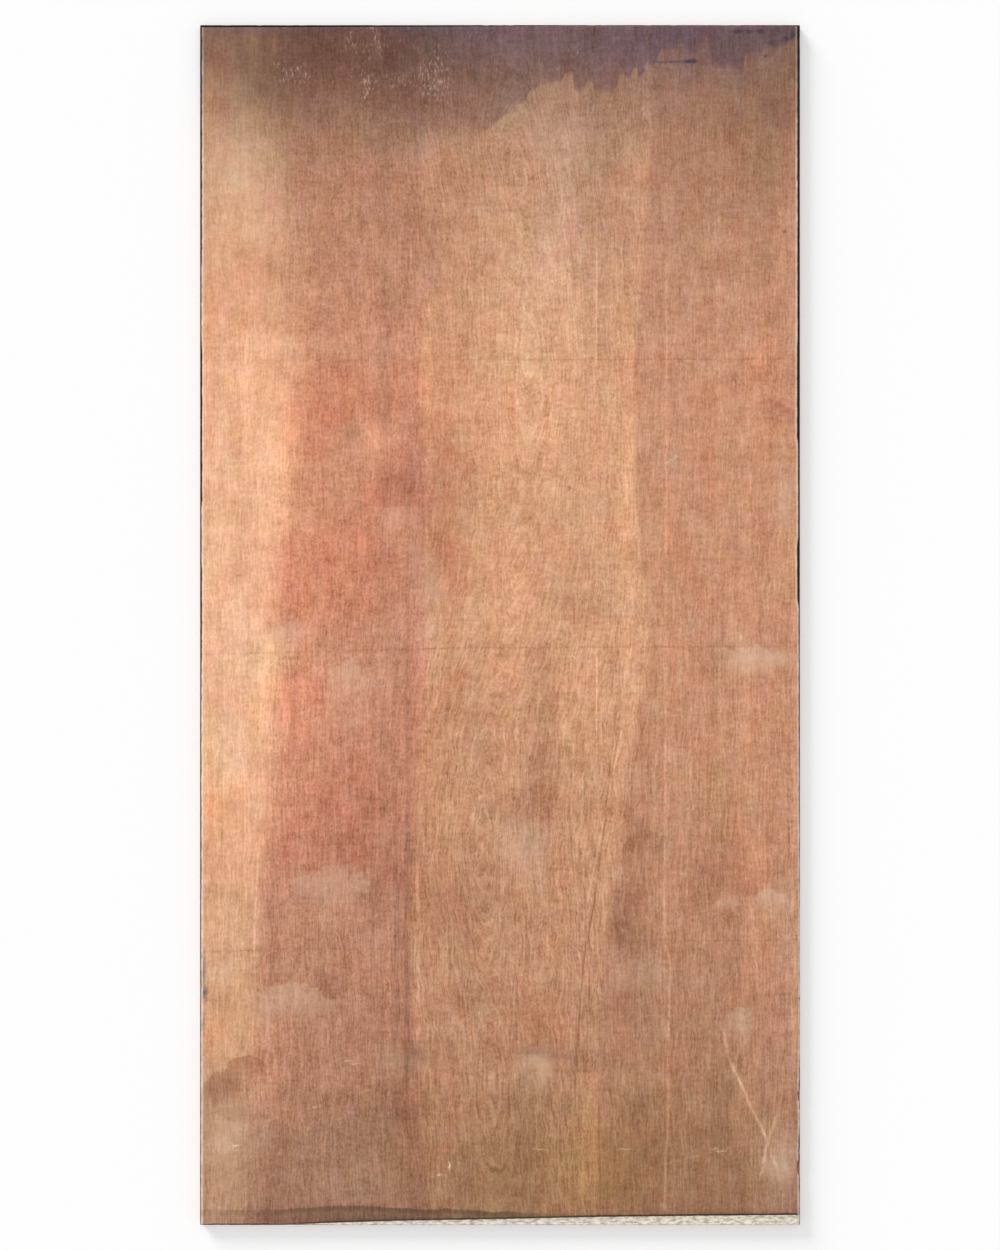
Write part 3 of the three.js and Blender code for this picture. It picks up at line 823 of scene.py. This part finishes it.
def join_loops(points, outer, inner):
    """Triangles between two loops of points, both anticlockwise from the same corner."""
    triangles = []
    steps_out = steps_in = 0
    while steps_out < len(outer) or steps_in < len(inner):
        here_out, next_out = outer[steps_out % len(outer)], outer[(steps_out + 1) % len(outer)]
        here_in, next_in = inner[steps_in % len(inner)], inner[(steps_in + 1) % len(inner)]
        across_out = np.linalg.norm(points[next_out] - points[here_in])
        across_in = np.linalg.norm(points[here_out] - points[next_in])
        if steps_in == len(inner) or (steps_out < len(outer) and across_out <= across_in):
            triangles.append((here_out, next_out, here_in))
            steps_out += 1
        else:
            triangles.append((here_out, next_in, here_in))
            steps_in += 1
    return np.array(triangles)


# Places of the faces and of each edge on the sheet's UV map, as left, right, low and high
FACE_UV = (0.005, 0.625, 0.005, 0.995)
BACK_UV = (0.64, 0.9, 0.005, 0.995)
EDGE_UVS = [(left, left + 0.018, 0.005, 0.995) for left in (0.91, 0.9325, 0.955, 0.9775)]


def on_map(share_across, share_along, region):
    """A place on the UV map, for shares of the way across and along one of its regions."""
    left, right, low, high = region
    return np.stack([left + (right - left) * share_across, low + (high - low) * share_along], -1)


class Shell:
    """The polygons of the sheet, with the surface and the corners' places on the UV map of each."""

    def __init__(self, points):
        self.points = points
        self.polygons, self.surfaces, self.places = [], [], []

    def add(self, polygons, surface, places):
        self.polygons += polygons.tolist()
        self.surfaces += [surface] * len(polygons)
        self.places.append(places.reshape(-1, 2))

    def add_flat(self, polygons, surface, region):
        corners = self.points[polygons]
        places = on_map(corners[..., 0] / WIDTH + 0.5, corners[..., 1] / LENGTH + 0.5, region)
        self.add(polygons, surface, places)

    def add_band(self, edge, at, rows):
        """The walls round the sheet, between neighbouring columns and rows of the edge band."""
        column = np.arange(len(at))
        following = np.roll(column, -1)
        edge_ends = np.array([length for _, length in EDGES])[edge]
        share = at / LENGTH
        share_following = np.where(edge[following] == edge, at[following], edge_ends) / LENGTH
        shares_along = np.stack([share, share_following, share_following, share], 1)
        for row in range(rows - 1):
            low, high = column * rows + row, following * rows + row
            quads = np.stack([low, high, high + 1, low + 1], 1)
            share_up = np.array([row, row, row + 1, row + 1]) / (rows - 1)
            shares_up = np.broadcast_to(share_up, shares_along.shape)
            for number, region in enumerate(EDGE_UVS):
                here = edge == number
                places = on_map(shares_up[here], shares_along[here], region)
                self.add(quads[here], band_surface(row), places)

    def mesh(self, name):
        made = bpy.data.meshes.new(name)
        made.from_pydata((self.points * MM).tolist(), [], self.polygons)
        made.polygons.foreach_set("material_index", self.surfaces)
        made.polygons.foreach_set("use_smooth", [surface in (FACE, BACK) for surface in self.surfaces])
        layer = made.uv_layers.new(name="OFBake")
        layer.data.foreach_set("uv", np.concatenate(self.places).astype(np.float32).ravel())
        return made


def add_attribute(mesh, name, values):
    if values.ndim == 2:
        attribute = mesh.attributes.new(name, "FLOAT_COLOR", "POINT")
        opaque = np.concatenate([values, np.ones((len(values), 1))], 1)
        attribute.data.foreach_set("color", opaque.astype(np.float32).ravel())
    else:
        attribute = mesh.attributes.new(name, "FLOAT", "POINT")
        attribute.data.foreach_set("value", values.astype(np.float32))


def build_sheet():
    edge, at, band = edge_band()
    face, back = face_grid(), flat_grid(BACK_COLUMNS, BACK_ROWS)
    shell = Shell(np.concatenate([part.reshape(-1, 3) for part in (band, face, back)]))
    columns, rows = band.shape[:2]
    shell.add_band(edge, at, rows)

    # The face is joined to the band's top row and the back, whose polygons face down, to its bottom row
    first = columns * rows
    for grid, surface, region, rim_row, turn in (
        (face, FACE, FACE_UV, rows - 1, 1),
        (back, BACK, BACK_UV, 0, -1),
    ):
        squares, border = grid_faces(*grid.shape[:2], first)
        rim = np.arange(columns) * rows + rim_row
        shell.add_flat(squares[:, ::turn], surface, region)
        shell.add_flat(join_loops(shell.points, rim, border)[:, ::turn], surface, region)
        first += grid.shape[0] * grid.shape[1]

    mesh = shell.mesh("sheet")
    across, along = shell.points[:, 0] + WIDTH / 2, LENGTH / 2 - shell.points[:, 1]
    add_attribute(mesh, "wood", wood_colour(across, along))
    for name, values in face_fields(across, along).items():
        add_attribute(mesh, name, values)
    return mesh


# ---- Materials ----

GLOSS = 0.35  # the specular level of all the wood

# Colours laid over the wood of the face
HAZE = rgba(224, 190, 162)  # dried water marks
FLECK = rgba(214, 176, 156)
RUBBED_PALE = rgba(234, 214, 204)
# The first of these is painted shadow, the dark line along the bare strip
# The last of these is painted shade, the black line along the arris
SHADOW_LINE_DARK, SPECK, RIM_SHADE_BLACK = rgba(46, 30, 24), rgba(120, 98, 84), rgba(8, 5, 5)
BARE_PALE, BARE_GREY = rgba(244, 234, 216), rgba(178, 170, 154)
# What a stain leaves of the colour under it
WATER, MUD = rgba(214, 200, 196), rgba(218, 196, 184)
WET_LEFT, WET_RIGHT, FADED = rgba(207, 189, 187), rgba(181, 189, 255), rgba(203, 212, 218)
FOOT = rgba(172, 180, 174)
DAMP = rgba(128, 108, 118)  # on the underside and the edges
# The back, the edges and the glue
BACK_RED, BACK_TAN, BACK_DIRT = rgba(196, 148, 118), rgba(178, 124, 98), rgba(120, 96, 84)
LENGTHWISE_SAWN, LENGTHWISE_SPLIT = rgba(156, 104, 76), rgba(206, 156, 118)
CROSSWISE_SAWN, CROSSWISE_SPLIT = rgba(146, 96, 70), rgba(198, 146, 110)
EDGE_DIRT = rgba(96, 72, 60)
GLUE_BROWN, TORN_WOOD = rgba(84, 52, 38), rgba(168, 112, 80)


class Signal:
    """A number, place or colour that varies over a surface. Arithmetic on signals adds shader nodes."""

    def __init__(self, graph, socket):
        self.graph = graph
        self.socket = socket

    def __add__(self, other):
        return self.graph.math("ADD", self, other)

    def __sub__(self, other):
        return self.graph.math("SUBTRACT", self, other)

    def __rsub__(self, other):
        return self.graph.math("SUBTRACT", other, self)

    def __mul__(self, other):
        return self.graph.math("MULTIPLY", self, other)


class Graph:
    """The nodes of one material. Places are in millimetres: across, along and up."""

    def __init__(self, name):
        self.material = bpy.data.materials.new(name)
        self.material.use_nodes = True
        self.tree = self.material.node_tree
        self.tree.nodes.clear()
        metres = self.add("ShaderNodeTexCoord", {}, "Object")
        corner = (WIDTH / 2, LENGTH / 2, 0)
        self.place = self.vector("MULTIPLY_ADD", metres, (1 / MM, -1 / MM, 1 / MM), corner)
        self.across, self.along, self.up = self.split(self.place)

    def add(self, kind, inputs, output=0, **settings):
        node = self.tree.nodes.new(kind)
        for name, value in settings.items():
            setattr(node, name, value)
        for key, value in inputs.items():
            if isinstance(value, Signal):
                self.tree.links.new(value.socket, node.inputs[key])
            else:
                node.inputs[key].default_value = value
        return Signal(self, node.outputs[output])

    def math(self, operation, *values):
        return self.add("ShaderNodeMath", dict(enumerate(values)), operation=operation)

    def size_of(self, value):
        """A number without its sign."""
        return self.math("ABSOLUTE", value)

    def most(self, first, *others):
        """The strongest of the signals at each place."""
        for other in others:
            first = self.math("MAXIMUM", first, other)
        return first

    def vector(self, operation, *values):
        output = "Value" if operation == "LENGTH" else "Vector"
        return self.add("ShaderNodeVectorMath", dict(enumerate(values)), output, operation=operation)

    def split(self, place):
        node = self.add("ShaderNodeSeparateXYZ", {0: place}).socket.node
        return [Signal(self, socket) for socket in node.outputs]

    def joined(self, across, along, up=0.0):
        return self.add("ShaderNodeCombineXYZ", {0: across, 1: along, 2: up})

    def facing(self):
        """How squarely the surface faces across, along and up."""
        normal = self.add("ShaderNodeNewGeometry", {}, "Normal")
        return self.split(self.vector("ABSOLUTE", normal))

    def field(self, name):
        """A field that the mesh carries."""
        output = "Color" if name == "wood" else "Fac"
        return self.add("ShaderNodeAttribute", {}, output, attribute_name=name, attribute_type="GEOMETRY")

    def step(self, value, low, high, least=0.0, most=1.0):
        """Rises smoothly from least to most as the value goes from low to high."""
        inputs = {"Value": value, "From Min": low, "From Max": high, "To Min": least, "To Max": most}
        return self.add("ShaderNodeMapRange", inputs, "Result", interpolation_type="SMOOTHSTEP")

    def texture(self, place, size, seed, detail, sharpness, output):
        """Blender's noise, in blotches of this size: across and along, and up where it is solid."""
        scale = [1 / length for length in size] + [0] * (3 - len(size))
        shifted = self.vector("MULTIPLY_ADD", place, scale, (seed * 3.7, seed * 9.1, seed * 5.3))
        inputs = {"Vector": shifted, "Scale": 1.0, "Detail": detail, "Roughness": sharpness}
        return self.add("ShaderNodeTexNoise", inputs, output, noise_dimensions=f"{len(size)}D")

    def noise(self, size, seed, detail=2.0, place=None):
        """Noise of about -1 to 1, stretched because the texture keeps to the middle of 0 to 1."""
        return self.texture(place or self.place, size, seed, detail, 0.55, "Fac") * 3.4 - 1.7

    def mixed(self, share, one, other, blend="MIX"):
        inputs = {0: share, 6: one, 7: other}
        return self.add("ShaderNodeMix", inputs, 2, data_type="RGBA", blend_type=blend)

    def stained(self, share, colour, stain):
        """The colour under a stain, which multiplies it."""
        return self.mixed(share, colour, stain, "MULTIPLY")

    def toned(self, colour, tone, tint=(0.8, 1.04, 1.3)):
        """The colour made paler or darker by a tone, most in the blue, as wood is."""
        shade = self.vector("MULTIPLY_ADD", self.joined(tone, tone, tone), tint, (1, 1, 1))
        return self.stained(1.0, colour, shade)

    def moved(self, size, reach, seed):
        """The place moved at random by up to about this far, so that what is drawn there is ragged."""
        noise = self.texture(self.place, size, seed, 1.0, 0.5, "Color")
        centred = self.vector("SUBTRACT", noise, (0.5, 0.5, 0.5))
        return self.vector("MULTIPLY_ADD", centred, (4 * reach, 4 * reach, 0), self.place)

    def spot(self, place, across, along, half_width, half_length, strength):
        """An ellipse with a soft edge: as strong as is said halfway in, and below 0 further out."""
        scale = (1 / half_width, 1 / half_length, 0)
        middle = (-across / half_width, -along / half_length, 0)
        radius = self.vector("LENGTH", self.vector("MULTIPLY_ADD", place, scale, middle))
        return self.math("MULTIPLY_ADD", radius, -strength, 1.5 * strength)

    def line(self, points, half_width, strengths):
        """A fine line along the sheet through (along, across) points, as strong at each as is said."""
        share = self.along * (1 / LENGTH)
        middle = self.by_length(share, [(along, across / WIDTH) for along, across in points])
        away = self.size_of(self.across - middle * WIDTH)
        return self.step(away, 0, half_width, 1, 0) * self.by_length(share, strengths)

    def by_length(self, share, points):
        """A number that goes by the share of the way along, through (along, value) points."""
        node = self.add("ShaderNodeFloatCurve", {"Value": share}).socket.node
        handles = node.mapping.curves[0].points
        for handle, (along, value) in zip(handles, points[:2]):
            handle.location = (along / LENGTH, value)
        for along, value in points[2:]:
            handles.new(along / LENGTH, value)
        for handle in handles:
            handle.handle_type = "VECTOR"
        node.mapping.extend = "HORIZONTAL"
        node.mapping.update()
        return Signal(self, node.outputs[0])

    def finish(self, colour, roughness, height, depth):
        """The surface itself. Its bump is this deep, in millimetres, for a height from 0 to 1."""
        normal = self.add("ShaderNodeBump", {"Height": height, "Distance": depth * MM, "Strength": 1.0})
        inputs = {"Base Color": colour, "Roughness": roughness, "Normal": normal}
        shader = self.add("ShaderNodeBsdfPrincipled", inputs | {"Specular IOR Level": GLOSS})
        self.add_output(shader)
        return self.material

    def add_output(self, shader):
        output = self.tree.nodes.new("ShaderNodeOutputMaterial")
        self.tree.links.new(shader.socket, output.inputs["Surface"])


def bare_wood(graph, fibre):
    """The wood's own colour, with its grain, stipple and mottle, and its pores and fibres."""
    hairs = graph.noise((2.0, 42), 14, 1, fibre)
    pores = graph.step(hairs, 0.5, 1.4)
    fibres = graph.noise((4.4, 75), 2, place=fibre)
    streaks = graph.noise((13, 260), 3, place=fibre)
    veins = graph.step(graph.size_of(graph.noise((10, 100), 6, 1, fibre)), 0, 0.34, 1, 0)
    cracks = graph.step(graph.noise((4.5, 330), 7, 1.5, fibre), 0.4, 1.3)
    strands = cracks * -0.16 + hairs * 0.115 + pores * -0.04 + fibres * 0.12
    strands = strands + veins * 0.15 + streaks * 0.05 - 0.02
    stipple = graph.noise((6, 6.5), 4) * 0.17 + graph.noise((26, 13), 17) * 0.11
    mottle = graph.noise((42, 55), 5, 2.5) * 0.13 + graph.noise((85, 80), 16) * 0.07
    broad = graph.noise((38, 800), 15, place=fibre) * 0.05
    tone = strands * graph.field("grain") + stipple * graph.field("stippled") + mottle + broad
    return graph.toned(graph.field("wood"), tone), pores, fibres


def add_patches(graph, colour, fibre, ragged):
    """Patches of redder and of yellower wood."""
    redness = graph.noise((60, 65), 19, 3) * 0.3 + graph.noise((14, 150), 18, place=fibre) * 0.22
    red = graph.field("red") * (ragged * 1.2 + 1) + redness * graph.field("patchiness")
    yellowness = graph.noise((50, 45), 32, 3) * 0.24 + graph.noise((18, 180), 33, place=fibre) * 0.18
    colour = graph.toned(colour, red, (0, -0.18, -0.2))
    return graph.toned(colour, graph.field("yellow") + yellowness, (0, 0, -0.28))


def add_water_marks(graph, colour, pale, ragged):
    """Blots and puddles that water has left, dark or washed pale."""
    dark = graph.step(graph.field("dark") * (ragged * 1.4 + 1), 0, 0.9)
    colour = graph.stained(dark, colour, WATER)
    colour = graph.mixed(pale, colour, HAZE)
    shore = graph.noise((45, 30), 35, 4)
    washed = graph.step(graph.field("washed_shore") + shore * 22, -5, 5) * graph.field("washed")
    colour = graph.mixed(washed * (ragged * 1.5 + 1), colour, HAZE)
    muddied = graph.step(graph.field("muddied_shore") + shore * 7, -1.5, 1.5) * graph.field("muddied")
    return graph.stained(muddied, colour, MUD)


def add_wet_end(graph, colour, fibre):
    """The wet end: a stain that fades down the sheet, and the jagged front that it reached."""
    jagged = graph.noise((3, 60), 10, place=fibre) * 5 + graph.noise((14, 30), 11) * 3
    inside = graph.math("DIVIDE", graph.field("wet") + jagged, graph.field("wet_softness"))
    soaked = graph.step(inside, -1, 1) * graph.field("soaking")
    wet_tone = graph.mixed(graph.field("purple"), WET_LEFT, WET_RIGHT)
    colour = graph.stained(graph.most(soaked, graph.field("halo")), colour, wet_tone)
    fade = graph.field("fade") * (graph.noise((70, 60), 12, 3) * 0.15 + 1)
    colour = graph.stained(fade, colour, FADED)
    flecks = graph.noise((3.8, 12), 20, place=fibre) + graph.field("rubbed") * 0.85
    return graph.mixed(graph.step(flecks, 0.8, 1.9) * 0.5, colour, FLECK)


def add_foot_stain(graph, colour):
    """The stain along the other end, with its crisp edge."""
    inside = graph.field("foot") + graph.noise((40, 400), 26, 3) * 2.5
    foot = graph.step(inside, -1.5, 1.5) * graph.step(inside, 5, 14, 1, 0.6)
    return graph.stained(foot * graph.field("foot_darkness"), colour, FOOT)


def add_marks(graph, colour, streaky):
    """Scratches and streaks, small marks, and the dirt and painted shade in the sunken joints."""
    uneven = streaky * 0.4 + 0.8
    pale_lines = graph.most(*[graph.line(*line) for line in PALE_LINES]) * uneven
    dark_lines = graph.most(*[graph.line(*line) for line in DARK_LINES]) * uneven
    colour = graph.toned(colour, pale_lines * 0.48 - dark_lines * 0.52)
    ragged_place = graph.moved((8, 7), 1.8, 34)
    for mark, entries in MARKS.items():
        spots = graph.most(*[graph.spot(ragged_place, *entry) for entry in entries])
        colour = graph.mixed(spots, colour, rgba(*mark))
    # Dirt and painted shade darken the sunken lines over the joints
    dirt = graph.field("line_dirt_and_shade") * graph.step(graph.noise((25, 9), 13), -0.9, 0.5)
    return graph.toned(colour, dirt * -0.3)


def add_bare_strip(graph, colour, edge, bare):
    """The bare strip along the near end, with a painted shadow line along the edge of the veneer."""
    # Painted shadow: a dark line just outside the edge of the bare strip
    shadow_line = graph.step(graph.size_of(edge + 1.6), 0.8, 2.8, 1, 0) * graph.field("bare_edge_shadow")
    colour = graph.mixed(shadow_line * 0.95, colour, SHADOW_LINE_DARK)
    under = graph.mixed(graph.step(graph.noise((14, 5), 37, 3), -0.5, 0.8), BARE_PALE, BARE_GREY)
    specks = graph.step(graph.noise((7, 3.5), 38), 0.4, 1.2)
    return graph.mixed(bare, colour, graph.mixed(specks * 0.8, under, SPECK))


def add_worn_and_shaded_rim(graph, colour):
    """The face rubbed pale near its sides, and a black line of painted shade along the arris."""
    waver = graph.noise((12, 22), 27)
    from_side = graph.math("MINIMUM", graph.across, WIDTH - graph.across)
    from_side = from_side - graph.field("side_shade_rim") + waver * 0.5
    from_end = graph.math("MINIMUM", graph.along, LENGTH - graph.along)
    from_end = from_end - graph.field("end_shade_rim") + waver * 0.3
    pale = graph.step(graph.size_of(from_side - 2.2), 0.6, 3, 1, 0) * (waver * 0.4 + 0.6)
    colour = graph.mixed(pale * graph.step(graph.along, 60, 320, 0.3, 0.85), colour, RUBBED_PALE)
    # Painted shade: a black line along the arris, as a shadow round the sheet
    black = graph.step(graph.math("MINIMUM", from_side, from_end), -0.8, 0.8, 1, 0)
    return graph.mixed(black, colour, RIM_SHADE_BLACK)


def face_material():
    graph = Graph("sheet_face")

    # The grain follows the growth rings, and wriggles on its way
    wriggle = graph.noise((30, 70), 28, 1) * 4 + graph.noise((9, 16), 29, 1) * 1.1
    fibre = graph.joined(graph.field("rings") + wriggle * graph.field("figure"), graph.along)
    streaky = graph.noise((7, 70), 9, place=fibre)
    ragged = graph.noise((30, 42), 8, 3) * 0.28 + streaky * 0.12
    pale = graph.step(graph.field("pale") * (ragged * 1.5 + 1), 0.02, 1, 0, 0.6)
    bare_edge = graph.field("bare") + graph.noise((14, 5), 36) * 0.5
    bare = graph.step(bare_edge, 0, 0.8)

    colour, pores, fibres = bare_wood(graph, fibre)
    colour = add_patches(graph, colour, fibre, ragged)
    colour = add_water_marks(graph, colour, pale, ragged)
    colour = add_wet_end(graph, colour, fibre)
    colour = add_foot_stain(graph, colour)
    colour = add_marks(graph, colour, streaky)
    colour = add_bare_strip(graph, colour, bare_edge, bare)
    colour = add_worn_and_shaded_rim(graph, colour)
    roughness = pores * 0.1 + pale * 0.1 + bare * 0.15 + 0.6
    return graph.finish(colour, roughness, pores * -0.5 + fibres * 0.1, 0.08)


def back_material():
    graph = Graph("sheet_back")
    bent = graph.joined(graph.across + graph.noise((160, 700), 21) * 14, graph.along)
    pores = graph.step(graph.noise((2.4, 30), 22, 1.5, bent), 0.15, 0.9)
    streaks = graph.step(graph.noise((22, 900), 23, 3, bent), -1, 1)
    fibres = graph.noise((4.5, 120), 24, place=bent)
    dirt = graph.step(graph.noise((120, 170), 25, 4), 0.1, 1.3)
    colour = graph.mixed(streaks, BACK_RED, BACK_TAN)
    colour = graph.toned(colour, pores * -0.1 + fibres * 0.035)
    colour = graph.mixed(dirt * 0.4, colour, BACK_DIRT)
    colour = graph.stained(graph.field("fade") * 0.8, colour, DAMP)
    return graph.finish(colour, dirt * 0.15 + 0.66, pores * -0.6 + fibres * 0.1, 0.14)


def ply_material(name, grain, sawn, split, seed):
    """The sawn edge of a ply, in solid wood whose grain runs this way: 0 across, 1 along."""
    graph = Graph(name)
    ply = graph.math("FLOOR", (graph.up - OUTER_VENEER) * (1 / INNER_PLY))
    own = graph.add("ShaderNodeTexWhiteNoise", {"W": ply + seed}, "Value", noise_dimensions="1D")
    size = [0.9, 0.9, 0.9]
    size[grain] = 60
    shifted = graph.vector("ADD", graph.place, graph.joined(own * 97, own * 61, own * 31))
    fibres = graph.noise(size, seed, place=shifted)
    blotches = graph.noise([length * 8 for length in size], seed + 1, place=shifted)
    end_grain = graph.step(graph.facing()[grain], 0.3, 0.8)
    colour = graph.mixed(end_grain, split, sawn)
    colour = graph.toned(colour, fibres * 0.07 + blotches * 0.09 + (own - 0.5) * 0.22)
    dirt = graph.step(graph.noise((60, 60, 9), seed + 2, 3), 0, 1.4)
    colour = graph.mixed(dirt * 0.45, colour, EDGE_DIRT)
    colour = graph.stained(graph.field("fade"), colour, DAMP)
    return graph.finish(colour, dirt * 0.12 + 0.72, fibres * 0.3 + 0.5, 0.25)


def glue_material():
    """Dark glue in a thin line, and torn wood where a splinter has gone."""
    graph = Graph("sheet_glue_line")
    torn_fibres = graph.noise((2, 25, 2), 41, 3)
    open_wood = graph.step(graph.facing()[2], 0.7, 0.95) * graph.step(torn_fibres, -0.8, 0.2)
    colour = graph.mixed(open_wood, GLUE_BROWN, TORN_WOOD)
    colour = graph.toned(colour, torn_fibres * 0.12)
    return graph.finish(colour, open_wood * 0.15 + 0.6, torn_fibres * 0.5, 0.3)


sheet = bpy.data.objects.new("plywood", build_sheet())
bpy.context.scene.collection.objects.link(sheet)
for material in (
    face_material(),
    back_material(),
    ply_material("sheet_lengthwise_ply", 1, LENGTHWISE_SAWN, LENGTHWISE_SPLIT, 51),
    ply_material("sheet_crosswise_ply", 0, CROSSWISE_SAWN, CROSSWISE_SPLIT, 61),
    glue_material(),
):
    sheet.data.materials.append(material)
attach(sheet, "root")
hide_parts("plywood_sheet")

# ---- The floor, the light and the camera ----

FLOOR_HALF = 6.0  # metres
FLOOR_SEEN_BY = ("Camera", "Glossy", "Transmission")
FLOOR_GLOW = 0.35  # how far the floor is simply white where it is seen, so that shadows on it are pale
SKY_SHARE = 0.71  # of the light on the face, which adds up to 1, so that colours render as written
SUN_HEIGHT, SUN_SOFTNESS = math.radians(15), math.radians(26)
SUN_FROM = math.radians(128)  # where the light comes from, anticlockwise from +X
FRAME_LONG_SIDE = 2541.7  # how much of the face's plane the photograph takes in, from top to bottom
CAMERA_LENS, CAMERA_SENSOR = 85, 36


def build_floor():
    mesh = bpy.data.meshes.new("floor")
    corners = [(x * FLOOR_HALF, y * FLOOR_HALF, 0) for x, y in ((-1, -1), (1, -1), (1, 1), (-1, 1))]
    mesh.from_pydata(corners, [], [(0, 1, 2, 3)])
    graph = Graph("pale_floor")
    lit = graph.add("ShaderNodeBsdfDiffuse", {"Color": rgba(253, 253, 253)})
    glow = graph.add("ShaderNodeEmission", {"Color": (1, 1, 1, 1), "Strength": 1.0})
    seen = graph.most(*[graph.add("ShaderNodeLightPath", {}, f"Is {kind} Ray") for kind in FLOOR_SEEN_BY])
    graph.add_output(graph.add("ShaderNodeMixShader", {0: seen * FLOOR_GLOW, 1: lit, 2: glow}))
    mesh.materials.append(graph.material)
    floor = bpy.data.objects.new("floor", mesh)
    bpy.context.scene.collection.objects.link(floor)


def build_light():
    world = bpy.data.worlds.new("sky")
    world.use_nodes = True
    tree = world.node_tree
    background = tree.nodes["Background"]
    path = tree.nodes.new("ShaderNodeLightPath")
    strength = tree.nodes.new("ShaderNodeMapRange")
    tree.links.new(path.outputs["Is Camera Ray"], strength.inputs["Value"])
    strength.inputs["To Min"].default_value = SKY_SHARE
    strength.inputs["To Max"].default_value = 1.0
    background.inputs["Color"].default_value = (1, 1, 1, 1)
    tree.links.new(strength.outputs[0], background.inputs["Strength"])
    bpy.context.scene.world = world

    light = bpy.data.lights.new("sun", "SUN")
    light.angle = SUN_SOFTNESS
    light.energy = math.pi * (1 - SKY_SHARE) / math.sin(SUN_HEIGHT)
    sun = bpy.data.objects.new("sun", light)
    sun.rotation_euler = (math.pi / 2 - SUN_HEIGHT, 0, SUN_FROM + math.pi / 2)
    sun.visible_glossy = False  # it is low, and would glare off the face
    bpy.context.scene.collection.objects.link(sun)


def build_camera():
    data = bpy.data.cameras.new("camera")
    data.lens, data.sensor_width = CAMERA_LENS, CAMERA_SENSOR
    camera = bpy.data.objects.new("camera", data)
    height = FRAME_LONG_SIDE * CAMERA_LENS / CAMERA_SENSOR + THICKNESS
    camera.location = (0, 0, height * MM)
    bpy.context.scene.collection.objects.link(camera)
    bpy.context.scene.camera = camera


build_floor()
build_light()
build_camera()
bpy.context.scene.view_settings.view_transform = "Standard"
